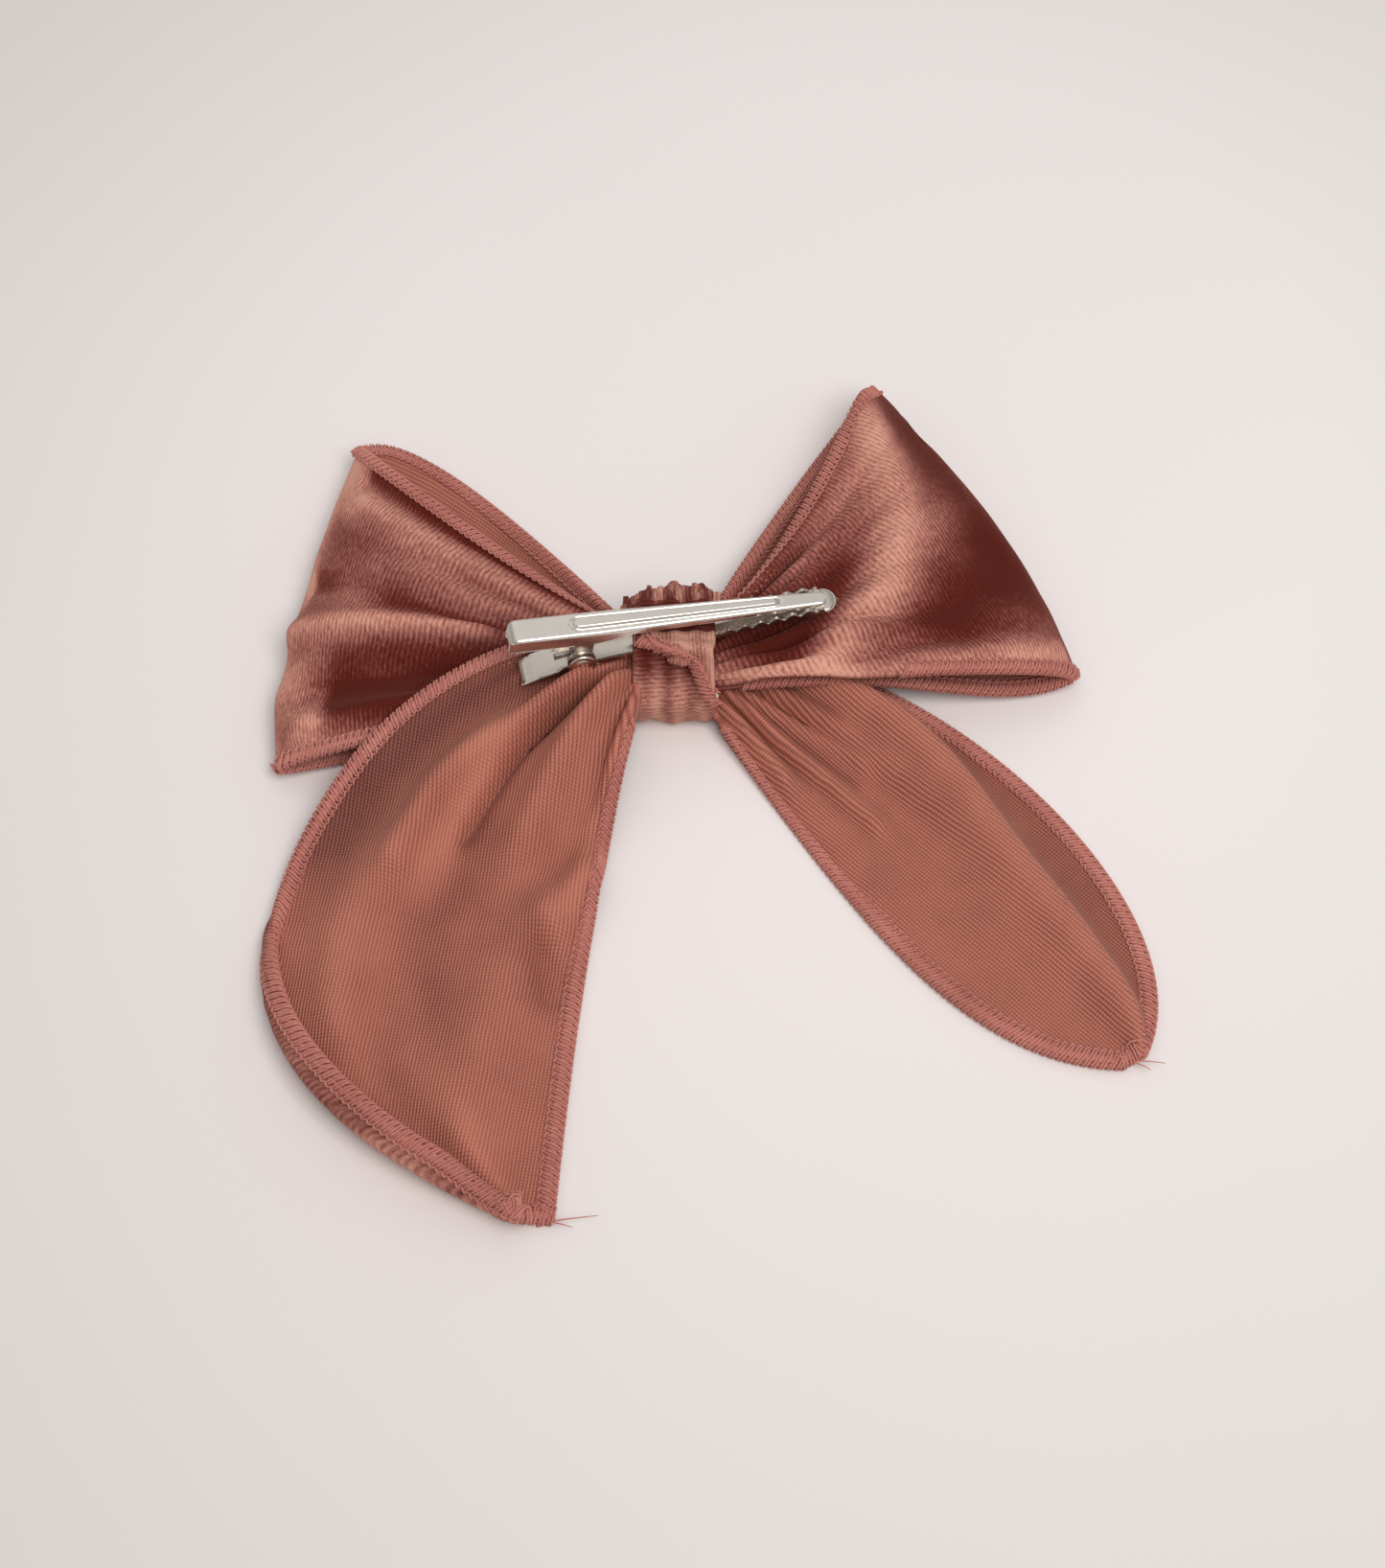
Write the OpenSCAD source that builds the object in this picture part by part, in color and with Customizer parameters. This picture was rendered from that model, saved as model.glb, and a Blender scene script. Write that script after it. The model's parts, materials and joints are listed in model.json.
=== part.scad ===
// Velvet bow hair clip: two open loops, two tails, a knotted centre band and a sprung
// single-prong clip. The bow lies on its face, so the clip is on top.
// Origin: the middle of the knot on the surface it rests on. X runs along the bow,
// Y across it towards the tops of the loops, Z up to the clip.

/* [Ribbon] */
// Width of the velvet ribbon, from edge to edge
ribbon_w = 59; // [48:1:70]
// Thickness of the velvet, pile included
velvet_t = 1.2; // [0.8:0.1:1.4]
// Reach of each loop, from the knot to the middle of its outer fold
loop_reach = 52; // [42:1:62]
// Height of the loops' back layer above the surface
loop_h = 9; // [7.5:0.5:10.5]
// Length of the long edge of each tail
tail_l = 85; // [70:1:98]
// Height of the ridge folded into the right tail
ridge_h = 7; // [5:0.5:7.5]
// Width of the overlock stitching along every edge
stitch_w = 1.8; // [1.2:0.1:2.4]
// Thickness of the overlock stitching
stitch_t = 1.7; // [1.3:0.1:2]

/* [Knot] */
// Width of the centre band, along the bow
knot_w = 12; // [10:0.2:14]
// Height of the knot, up to the top of the band over the clip
knot_h = 14.8; // [14.4:0.1:15.2]
// Depth of the knot across the bow
knot_d = 16.2; // [14:0.2:19]
// Width of the gathered ribbon inside the band
waist_w = 9.6; // [8:0.2:10.4]
// Thickness of the gathered ribbon inside the band
waist_t = 7; // [6.6:0.1:7]
// Thickness of the thread wound round the gathers
thread_t = 0.4; // [0.2:0.1:0.6]
// Thickness of the folded end of the band
flap_t = 1.2; // [0.8:0.1:1.4]

/* [Clip] */
// Pivot to the end of the tip pad
prong_l = 38.3; // [34:0.1:45]
// Pivot to the end of the upper handle
handle_l = 10.8; // [8.6:0.2:12.6]
// Pivot to the end of the lower handle
lower_handle_l = 9.2; // [7.6:0.2:11]
// Thickness of the pressed steel
steel_t = 0.5; // [0.4:0.05:0.7]
// Width of the upper jaw at the pivot
jaw_w = 4.2; // [3.9:0.1:5]
// Width of the upper jaw at its tip
jaw_tip_w = 2.9; // [2.2:0.1:3.4]
// Depth of the upper handle, down to the edge of its sides
handle_d = 3.3; // [2.7:0.1:3.9]
// Diameter of the pivot pin
pin_d = 1.5; // [1.2:0.1:1.8]
// Radial clearance of the upper jaw on the pin
pin_clear = 0.05; // [0.02:0.01:0.08]
// Diameter of the spring wire
wire_d = 0.5; // [0.4:0.02:0.55]
// Height of the teeth above the floor of the lower jaw
tooth_h = 0.95; // [0.7:0.05:1]
// Distance from tooth to tooth
tooth_pitch = 2.4; // [2:0.1:3]
// Diameter of the round pad at the tip
pad_d = 4.4; // [3.8:0.1:5]

/* [Hidden] */
$fn = 48;

// Colours
velvet = "#9c5f55";
knit = "#a5634f";
thread = "#a9675f";
steel = "#d8d4cf";
glue = "#e8e4dc";

// ---- Smooth curves ----

function mix(a, b, t) = a + (b - a) * t;
// A cubic curve from p[0] to p[3], pulled towards p[1] and p[2]
function bezier(p, t) =
    pow(1 - t, 3) * p[0] + 3 * pow(1 - t, 2) * t * p[1] + 3 * (1 - t) * t * t * p[2] + pow(t, 3) * p[3];
// The parabola through a, b and c at w = 0, 0.5 and 1
function through(a, b, c, w) = (1 - w) * (1 - 2 * w) * a + 4 * w * (1 - w) * b + w * (2 * w - 1) * c;
// A smooth hump, 1 at x = 0
function hump(x) = exp(-x * x);
// A point given along and across an axis that leaves the point o at the angle a
function place(o, a, p) = [o.x + p.x * cos(a) - p.y * sin(a), o.y + p.x * sin(a) + p.y * cos(a), p.z];

// ---- Sheets: a surface f(u, v) given a thickness ----

function normal(f, u, v) =
    let (e = 0.004, n = cross(f(u + e, v) - f(u - e, v), f(u, v + e) - f(u, v - e))) n / norm(n);

// u and v hold [from, to, steps]; turned reverses the faces of a mirrored surface
module sheet(f, u, v, t, turned = false) {
    row = v[2] + 1;
    count = (u[2] + 1) * row;
    knots = [for (i = [0:u[2]], j = [0:v[2]]) [mix(u[0], u[1], i / u[2]), mix(v[0], v[1], j / v[2])]];
    upper = [for (k = knots) f(k.x, k.y) + normal(f, k.x, k.y) * t / 2];
    lower = [for (k = knots) f(k.x, k.y) - normal(f, k.x, k.y) * t / 2];
    tops = [for (i = [0:u[2] - 1], j = [0:v[2] - 1])
        let (a = i * row + j) each [[a, a + 1, a + row], [a + 1, a + row + 1, a + row]]];
    undersides = [for (face = tops) [face[2], face[1], face[0]] + [count, count, count]];
    around = concat([for (i = [0:u[2] - 1]) i * row], [for (j = [0:v[2] - 1]) u[2] * row + j],
                    [for (i = [u[2]:-1:1]) i * row + v[2]], [for (j = [v[2]:-1:1]) j]);
    sides = [for (k = [0:len(around) - 1]) let (a = around[k], b = around[(k + 1) % len(around)])
        each [[a, a + count, b], [b, a + count, b + count]]];
    faces = concat(tops, undersides, [for (face = sides) [face[2], face[1], face[0]]]);
    polyhedron(concat(upper, lower), turned ? [for (face = faces) [face[2], face[1], face[0]]] : faces);
}

// ---- Loops ----
// A loop's rim runs out from the knot along the front layer (q from 0 to 1), round the
// outer fold, and back along the back layer (q from 1 to 2). A rim is seven points:
// knot, two pulls, fold, two pulls, knot. The surface passes through three rims.

half_w = ribbon_w / 2;
clear_z = velvet_t / 2 + 0.2;

function rim_at(r, q) = q < 1 ? bezier([r[0], r[1], r[2], r[3]], q) : bezier([r[3], r[4], r[5], r[6]], q - 1);
function loop_at(rims, q, w) = through(rim_at(rims[0], q), rim_at(rims[1], q), rim_at(rims[2], q), w);

waist_x = knot_w / 2 - 0.2;
throat_w = waist_w / 2 - 0.5;

// Left loop
left_angle = 164;
left_low_z = 3.9;
left_high_z = 6;
function left_pt(along, across, z) = place([-waist_x, 0, 0], left_angle, [along, -across, z]);
function left_throat(across, z) = [-waist_x - 0.1, across * throat_w, z];
left_rims = [
    [left_throat(1, left_low_z), left_pt(loop_reach * 0.31, half_w * 0.55, 4.4),
     left_pt(loop_reach * 0.9, half_w * 1.33, -0.4), left_pt(loop_reach + 1, half_w, 4.5),
     left_pt(loop_reach * 0.88, half_w * 0.75, loop_h + 2), left_pt(loop_reach * 0.33, half_w * 0.31, loop_h),
     left_throat(1, left_high_z)],
    [left_throat(0, left_low_z), left_pt(loop_reach * 0.3, 0, clear_z - 1),
     left_pt(loop_reach * 0.98, -half_w * 0.16, clear_z), left_pt(loop_reach - 1, -half_w * 0.16, 4.2),
     left_pt(loop_reach * 0.95, -half_w * 0.16, loop_h + 2), left_pt(loop_reach * 0.33, -half_w * 0.05, loop_h - 2),
     left_throat(0, left_high_z)],
    [left_throat(-1, left_low_z), left_pt(loop_reach * 0.28, -half_w * 0.3, clear_z - 0.8),
     left_pt(loop_reach * 0.84, -half_w * 0.96, clear_z - 0.2), left_pt(loop_reach * 0.87, -half_w, 3),
     left_pt(loop_reach * 0.8, -half_w * 0.98, loop_h - 0.5), left_pt(loop_reach * 0.28, -half_w * 0.36, loop_h - 2.6),
     left_throat(-1, left_high_z)]];
left_surface = function (q, w) loop_at(left_rims, q, w);

// Right loop, lying over the root of the right tail
right_angle = 35;
right_low_z = 6;
right_high_z = 8.2;
function right_pt(along, across, z) = place([waist_x, 0, 0], right_angle, [along, across, z]);
function right_throat(across, z) = [waist_x + 0.1, across * throat_w, z];
right_rims = [
    [right_throat(1, right_low_z), right_pt(loop_reach * 0.3, half_w * 0.5, 6),
     right_pt(loop_reach * 0.85, half_w, -1.2), right_pt(loop_reach, half_w * 1.03, 5),
     right_pt(loop_reach * 0.8, half_w * 0.85, loop_h + 3), right_pt(loop_reach * 0.33, half_w * 0.14, loop_h + 2),
     right_throat(1, right_high_z)],
    [right_throat(0, right_low_z), right_pt(loop_reach * 0.3, 0, 4.5),
     right_pt(loop_reach * 0.97, -half_w * 0.06, clear_z - 2.6), right_pt(loop_reach - 0.8, -half_w * 0.06, 4.4),
     right_pt(loop_reach * 0.96, -half_w * 0.06, loop_h + 2.5), right_pt(loop_reach * 0.33, -half_w * 0.04, loop_h + 1.5),
     right_throat(0, right_high_z)],
    [right_throat(-1, right_low_z), right_pt(loop_reach * 0.42, -half_w * 0.6, ridge_h + 5.5),
     right_pt(loop_reach * 0.62, -half_w * 0.9, clear_z - 3.4), right_pt(loop_reach * 0.85, -half_w * 1.03, 3),
     right_pt(loop_reach * 0.8, -half_w * 1.02, loop_h - 1), right_pt(loop_reach * 0.36, -half_w * 0.7, ridge_h + 6.6),
     right_throat(-1, right_high_z)]];
right_surface = function (q, w) loop_at(right_rims, q, w);

loop_steps = 28;
loop_around = [0, 2, loop_steps];
loop_across = [0, 1, 8];
// The stitching starts and ends a few steps from the knot, inside the gathers
bare_steps = 2;
// Share of the width left free between the cloth and its stitching
seam = 0.001;

module loop_stitching(f, turned) {
    band = stitch_w / ribbon_w;
    bare = 2 * bare_steps / loop_steps;
    along = [bare, 2 - bare, loop_steps - 2 * bare_steps];
    sheet(f, along, [-band, -seam, 1], stitch_t, turned);
    sheet(f, along, [1 + seam, 1 + band, 1], stitch_t, turned);
}

// ---- Tails ----
// A tail is a leaf between a long edge (v = 0) and a short edge (v = 1), from the knot
// (u = 0) to its tip (u = 1).

function tail_at(o, angle, long, short, height, u, v) =
    let (p = mix(bezier(long, u), bezier(short, u), v)) place(o, angle, [p.x, p.y, height(u, v)]);

// Left tail: it leaves the back of the knot and falls over the left loop to the surface
left_tail_z = loop_h + 0.1;
left_tail_long = [[0, 0], [tail_l * 0.3, -ribbon_w * 0.06], [tail_l * 0.7, -ribbon_w * 0.03], [tail_l, 0]];
left_tail_short = [[-throat_w * 2, throat_w * 0.34], [-tail_l * 0.12, ribbon_w * 0.6],
                   [tail_l * 0.8, ribbon_w * 1.44], [tail_l, 0]];
// Drop from the knot to the surface, later on the short edge, which crosses the loop
function left_tail_drop(u, v) = 1 / (1 + exp((u - mix(0.22, 0.45, v)) * 20));
function left_tail_height(u, v) =
    clear_z + 0.1 + (left_tail_z - clear_z - 0.1) * left_tail_drop(u, v)
    + 2.6 * hump((u - 0.2) / 0.1) * hump((v - 0.28) / 0.16)
    + 0.7 * hump((u - 0.28) / 0.12) * hump((v - 1) / 0.5)
    + 4 * hump((u - 0.84) / 0.14) * hump((v - 1) / 0.3);
left_tail_surface = function (u, v)
    tail_at([-waist_x - 0.5, -throat_w, 0], -98, left_tail_long, [for (p = left_tail_short) [p.x, -p.y]],
            function (u, v) left_tail_height(u, v), u, v);

// Right tail: it leaves the front of the knot, under the right loop, with one long ridge
right_tail_z = 3.8;
right_tail_long = [[0, 0], [tail_l * 0.33, -ribbon_w * 0.08], [tail_l * 0.78, -ribbon_w * 0.35], [tail_l, 0]];
right_tail_short = [[-throat_w * 1.42, throat_w * 1.42], [tail_l * 0.1, ribbon_w * 0.54],
                    [tail_l * 0.93, ribbon_w * 0.49], [tail_l, 0]];
function right_tail_ridge(u) = mix(0.66, 0.74, u);
function right_tail_height(u, v) =
    clear_z + 0.1 + (right_tail_z - clear_z - 0.1) * hump(u / 0.14)
    + (ridge_h - clear_z) * (1 - hump(u / 0.16)) * (1 - pow(u, 4)) * hump((v - right_tail_ridge(u)) / 0.19);
right_tail_surface = function (u, v)
    tail_at([waist_x + 0.1, -throat_w, 0], -45, right_tail_long, right_tail_short,
            function (u, v) right_tail_height(u, v), u, v);

tail_steps = 22;
tail_end = 0.97;
tail_along = [0, tail_end, tail_steps];
tail_across = [0, 1, 10];

module tail_stitching(f, turned) {
    band = stitch_w / (ribbon_w * 0.8);
    along = [tail_end * bare_steps / tail_steps, tail_end, tail_steps - bare_steps];
    sheet(f, along, [-band, -seam, 1], stitch_t, turned);
    sheet(f, along, [1 + seam, 1 + band, 1], stitch_t, turned);
}

// ---- Knot ----

// Outline of the knot across the bow, grown outwards by more
module knot_outline(more = 0) {
    side = knot_d / 2;
    hull() {
        for (y = [-side + 4, side - 3.6])
            translate([y, 3.4]) circle(3.4 + more);
        translate([-side + 3.4, 6.4]) circle(3.4 + more);
        translate([side - 3, 6.8]) circle(3.4 + more);
        for (y = [-1.2, 6.6])
            translate([y, knot_h - 2.6]) circle(2.6 + more);
    }
}

module along_bow(length) rotate([90, 0, 90]) translate([0, 0, -length / 2]) linear_extrude(length) children();

waist_z = 2.6;
module waist_outline(more = 0) {
    r = 2;
    for (y = [-1, 1], z = [-1, 1])
        translate([y * (waist_w / 2 - r), waist_z + waist_t / 2 + z * (waist_t / 2 - r)]) circle(r + more);
    translate([-waist_w / 2 - more, waist_z + r]) square([waist_w + 2 * more, waist_t - 2 * r]);
    translate([-waist_w / 2 + r, waist_z - more]) square([waist_w - 2 * r, waist_t + 2 * more]);
}

thread_x = 2;
module waist() color(velvet) difference() {
    along_bow(waist_x * 2) waist_outline();
    along_bow(thread_x) difference() {
        waist_outline(1);
        waist_outline(-thread_t);
    }
}

module gather_thread() color(thread) along_bow(thread_x) difference() {
    waist_outline();
    waist_outline(-thread_t);
}

module centre_band() color(velvet) difference() {
    along_bow(knot_w) knot_outline();
    along_bow(knot_w + 1) waist_outline(0.1);
    on_clip() lower_turn() lower_room();
    glue_bed(0.05);
}

// The end of the band is folded over the lower jaw and turned down beside it
flap_front = 0.3;
module flap_shape(grow) {
    translate([0, 0, knot_h / 2]) linear_extrude(knot_h, center = true)
        polygon([[-4.8 - grow, flap_front], [-4.8 - grow, -0.8 - grow], [4.6, -7 - grow * 1.5], [6 + grow, -6.4 - grow],
                 [6 + grow, flap_front]]);
}

module flap_skin(inner, outer) intersection() {
    along_bow(knot_w * 2) difference() {
        knot_outline(outer);
        knot_outline(inner);
    }
    translate([0, 0, knot_h / 2]) flap_shape(0);
}

module band_end() color(velvet) {
    difference() {
        flap_skin(0.02, flap_t);
        flap_edge();
        dab_at() sphere(dab_r + 0.02);
    }
}

// Slanting strip along the lower left edge of the folded end
module flap_edge() translate([0, 0, knot_h * 0.55]) linear_extrude(knot_h)
    polygon([[-5.4, -0.4], [-5.4, -1.6], [4.6, -8.4], [4.6, -6.6]]);

module band_stitching() color(thread) intersection() {
    along_bow(knot_w * 2) difference() {
        knot_outline(flap_t + 0.2);
        knot_outline(0.02);
    }
    flap_edge();
}

dab_r = 0.9;
module dab_at() translate([5.6, -6.9, 9]) children();
module glue_dab() color(glue) difference() {
    dab_at() sphere(dab_r);
    along_bow(knot_w * 2) knot_outline(0.02);
}

module glue_bed(more) translate([-4.5 - more, -1.2 - more, waist_z + waist_t])
    cube([9 + 2 * more, 4.8 + 2 * more, 4]);
module glue_pad() color(glue) difference() {
    glue_bed(0);
    on_clip() lower_turn() lower_room();
}

// ---- Clip ----
// The clip lies along its own X axis, from the handles (-X) to the tips (+X), with the
// pivot at its origin. Each jaw is pressed flat and then turned about the pivot.

clip_angle = 12.4;
pivot = [-13.8, -1.3, 12.9];
upper_tilt = 6.3;
lower_tilt = 4.6;
upper_top = 6.3;
lower_bottom = -1.9;

module on_clip() translate(pivot) rotate([0, 0, clip_angle]) children();
module upper_turn() rotate([0, upper_tilt, 0]) children();
module lower_turn() rotate([0, -lower_tilt, 0]) children();
module upright(t, y) translate([0, y + t / 2, 0]) rotate([90, 0, 0]) linear_extrude(t) children();

side_gap = 0.12;
upper_side = jaw_w / 2;
lower_side = upper_side + side_gap + steel_t;
upper_l = prong_l - 1.9;
sides_end = 2.4;
side_fade = 4;
lower_floor = lower_bottom + steel_t;
ear_r = 2.1;
upper_ear_r = -lower_floor - 0.12;

// Upper jaw: a tapered plate with a long pressed rib, deep sides at the handle and two ears
module upper_plan() {
    r = 0.7;
    hull() {
        for (side = [-1, 1]) {
            translate([-handle_l + r, side * (upper_side - r)]) circle(r);
            translate([sides_end, side * (upper_side - r)]) circle(r);
            translate([upper_l - r, side * (jaw_tip_w / 2 - r)]) circle(r);
        }
    }
}

module upper_side_plan() {
    polygon([[-handle_l + 0.7, upper_top - 0.1], [-handle_l + 0.7, upper_top - handle_d], [sides_end, upper_top - handle_d],
             [sides_end + side_fade, upper_top - steel_t - 0.4], [sides_end + side_fade, upper_top - 0.1]]);
    circle(upper_ear_r);
    translate([-upper_ear_r, 0]) square([2 * upper_ear_r, upper_top - handle_d + 0.2]);
}

rib_r = 1;
rib_h = 0.3;
rib_from = 0.2;
rib_to = prong_l - 5.6;

module upper_jaw() color(steel) on_clip() upper_turn() difference() {
    union() {
        translate([0, 0, upper_top - steel_t]) linear_extrude(steel_t) upper_plan();
        for (side = [-1, 1])
            upright(steel_t, side * (upper_side - steel_t / 2)) upper_side_plan();
        translate([-handle_l, -upper_side + 0.7, upper_top - 1.6]) cube([steel_t, jaw_w - 1.4, 1.5]);
        translate([rib_from, 0, upper_top - 0.1]) cylinder(rib_h + 0.1, r = rib_r);
        translate([rib_to, 0, upper_top - 0.1]) cylinder(rib_h + 0.1, r = rib_r * 0.8);
        translate([0, 0, upper_top - 0.1]) linear_extrude(rib_h + 0.1)
            polygon([[rib_from, -rib_r], [rib_to, -rib_r * 0.8], [rib_to, rib_r * 0.8], [rib_from, rib_r]]);
    }
    upright(jaw_w * 2, 0) circle(pin_d / 2 + pin_clear);
}

// Lower jaw: a tapered floor with low sides, toothed towards the tip, a round tip pad,
// two ears outside the upper jaw's, and a handle that bends away
lower_tip_w = jaw_tip_w + 2 * (side_gap + steel_t) + 0.2;
floor_from = -2.6;
pad_x = prong_l - pad_d / 2;
teeth_from = 20.6;
tooth_count = floor((pad_x - 1 - teeth_from) / tooth_pitch);
rim_h = 0.75;

module lower_plan(more = 0) polygon([
    [floor_from, -lower_side - more], [sides_end, -lower_side - more], [pad_x, -lower_tip_w / 2 - more],
    [pad_x, lower_tip_w / 2 + more], [sides_end, lower_side + more], [floor_from, lower_side + more]]);

// A side wall that follows the taper from the ears to the tip pad, drawn flat in X and Z
module along_side(side) {
    run = pad_x - sides_end;
    turn = atan((lower_side - lower_tip_w / 2) / run);
    translate([sides_end, side * (lower_side - steel_t / 2), 0]) rotate([0, 0, -side * turn])
        translate([-sides_end, 0, 0]) upright(steel_t, 0) children();
}

module side_wall_plan() {
    translate([sides_end, lower_bottom]) square([pad_x - sides_end - 1, steel_t + 0.3]);
    translate([sides_end, lower_bottom]) square([teeth_from - sides_end, steel_t + rim_h]);
    for (i = [0:tooth_count - 1])
        translate([teeth_from + i * tooth_pitch, lower_floor + 0.2])
            polygon([[0, 0], [tooth_pitch * 0.36, tooth_h - 0.2], [tooth_pitch * 0.64, tooth_h - 0.2], [tooth_pitch, 0]]);
}

handle_bend = 3;
module lower_handle() translate([floor_from, 0, lower_bottom]) rotate([0, -handle_bend, 0])
    translate([-(lower_handle_l + floor_from), -lower_side, 0]) {
        cube([lower_handle_l + floor_from + 0.1, lower_side * 2, steel_t]);
        for (y = [0, lower_side * 2 - steel_t])
            translate([0, y, 0]) cube([lower_handle_l + floor_from - 1, steel_t, 1.1]);
    }

module lower_jaw() color(steel) on_clip() lower_turn() difference() {
    union() {
        translate([0, 0, lower_bottom]) linear_extrude(steel_t) lower_plan();
        translate([pad_x, 0, lower_bottom]) cylinder(steel_t + 0.25, d = pad_d);
        for (side = [-1, 1]) {
            upright(steel_t, side * (lower_side - steel_t / 2)) {
                circle(ear_r);
                translate([-ear_r, lower_bottom]) square([ear_r * 2, -lower_bottom]);
                translate([0, lower_bottom]) square([sides_end + 0.1, steel_t + rim_h]);
            }
            along_side(side) side_wall_plan();
        }
        lower_handle();
    }
    upright(jaw_w * 2, 0) circle(pin_d / 2 + 0.01);
}

// The space that the lower jaw takes up inside the band and the glue
module lower_room() {
    translate([0, 0, lower_bottom - 0.05]) linear_extrude(steel_t + rim_h + 0.25) lower_plan(0.15);
}

module pivot_pin() color(steel) on_clip() {
    upright(lower_side * 2 + 0.8, 0) circle(pin_d / 2);
    for (side = [-1, 1])
        upright(0.35, side * (lower_side + 0.24)) circle(pin_d / 2 + 0.5);
}

// Spring: turns of wire round the pin, with a leg against each handle
coil_r = pin_d / 2 + 0.05 + wire_d / 2;
turns = 3;
coil_step = wire_d * 0.98;
coil_l = (turns - 1) * coil_step + wire_d;
upper_leg_l = 7.6;
lower_leg_l = 6;
upper_leg_rise = 39;
lower_leg_drop = 5;
module spring_leg(length, side) translate([0, side * (coil_l + wire_d + 0.04) / 2, side * coil_r])
    rotate([0, -90, 0]) cylinder(length, d = wire_d);
module torsion_spring() color(steel) on_clip() {
    rotate([90, 0, 0]) rotate_extrude() for (i = [0:turns - 1])
        translate([coil_r, (i - (turns - 1) / 2) * coil_step]) circle(d = wire_d, $fn = 12);
    rotate([0, upper_leg_rise, 0]) spring_leg(upper_leg_l, 1);
    rotate([0, -lower_leg_drop, 0]) spring_leg(lower_leg_l, -1);
}

// ---- Nodes ----

module left_loop() color(velvet) sheet(left_surface, loop_around, loop_across, velvet_t);
module right_loop() color(velvet) sheet(right_surface, loop_around, loop_across, velvet_t, true);
module left_tail() color(knit) sheet(left_tail_surface, tail_along, tail_across, velvet_t, true);
module right_tail() color(knit) sheet(right_tail_surface, tail_along, tail_across, velvet_t);
module left_loop_stitching() color(thread) loop_stitching(left_surface, false);
module right_loop_stitching() color(thread) loop_stitching(right_surface, true);
module left_tail_stitching() color(thread) tail_stitching(left_tail_surface, true);
module right_tail_stitching() color(thread) tail_stitching(right_tail_surface, false);

left_loop();
right_loop();
left_tail();
right_tail();
waist();
gather_thread();
centre_band();
band_end();
left_loop_stitching();
right_loop_stitching();
left_tail_stitching();
right_tail_stitching();
band_stitching();
glue_pad();
glue_dab();
lower_jaw();
upper_jaw();
pivot_pin();
torsion_spring();
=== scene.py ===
# %% [markdown]
# # A velvet bow on a sprung hair clip
# The bow lies on its face, so its back is on top: two open loops and two tails of velvet
# ribbon, a band knotted round the middle, and a pressed steel clip held by the band.
# The bodies, the joint and the clip's place come from the frame. Each piece, soft or
# steel, is made here, as a surface that numpy works out from two parameters.

# %% The frame
import json
import math

import bpy
import numpy as np
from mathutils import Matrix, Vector


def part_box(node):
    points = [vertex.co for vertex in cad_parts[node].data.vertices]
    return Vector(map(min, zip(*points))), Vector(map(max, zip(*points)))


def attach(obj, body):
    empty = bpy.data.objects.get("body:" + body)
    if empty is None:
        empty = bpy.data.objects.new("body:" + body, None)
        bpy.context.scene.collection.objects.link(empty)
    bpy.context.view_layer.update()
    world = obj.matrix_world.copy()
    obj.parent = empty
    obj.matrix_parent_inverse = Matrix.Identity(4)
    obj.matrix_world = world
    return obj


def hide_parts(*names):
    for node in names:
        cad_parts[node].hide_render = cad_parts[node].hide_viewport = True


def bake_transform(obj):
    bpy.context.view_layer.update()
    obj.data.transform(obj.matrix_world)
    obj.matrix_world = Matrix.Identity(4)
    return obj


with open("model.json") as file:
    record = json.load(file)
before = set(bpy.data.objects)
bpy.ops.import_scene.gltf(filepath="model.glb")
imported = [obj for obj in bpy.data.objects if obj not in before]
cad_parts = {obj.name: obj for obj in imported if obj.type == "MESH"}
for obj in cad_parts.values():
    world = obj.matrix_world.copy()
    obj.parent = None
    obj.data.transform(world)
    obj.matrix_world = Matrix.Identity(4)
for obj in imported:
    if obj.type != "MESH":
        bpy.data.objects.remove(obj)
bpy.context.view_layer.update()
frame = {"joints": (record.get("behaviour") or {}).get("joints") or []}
MM = 0.001

# %% [markdown]
# ## Camera, floor and light
# The view looks down on the table at 57 degrees, through a 70 mm lens. The table is a pale
# warm board under a large soft lamp on the viewer's side, and a weaker one beyond it that
# the steel reflects. A plain white world fills the shadows. The Standard transform keeps
# the pale floor pale.

# %% Camera
scene = bpy.context.scene
scene.view_settings.view_transform = "Standard"
camera_data = bpy.data.cameras.new("camera")
camera_data.lens = 70
camera_data.sensor_fit = "VERTICAL"
camera_data.sensor_height = 36
camera = bpy.data.objects.new("camera", camera_data)
camera.location = (0.0027, -0.25876, 0.37351)
camera.rotation_euler = (math.radians(33), 0, 0)
scene.collection.objects.link(camera)
scene.camera = camera


# %% Shader maths in Python
class Signal:
    """A node's output. Python's operators on it add Math nodes."""

    def __init__(self, finish, socket):
        self.finish = finish
        self.socket = socket

    def _math(self, operation, first, second):
        return self.finish.node("Math", {"operation": operation}, {0: first, 1: second})

    def __add__(self, other):
        return self._math("ADD", self, other)

    def __sub__(self, other):
        return self._math("SUBTRACT", self, other)

    def __mul__(self, other):
        return self._math("MULTIPLY", self, other)

    def __radd__(self, other):
        return self._math("ADD", other, self)

    def __rsub__(self, other):
        return self._math("SUBTRACT", other, self)

    def __rmul__(self, other):
        return self._math("MULTIPLY", other, self)


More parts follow.
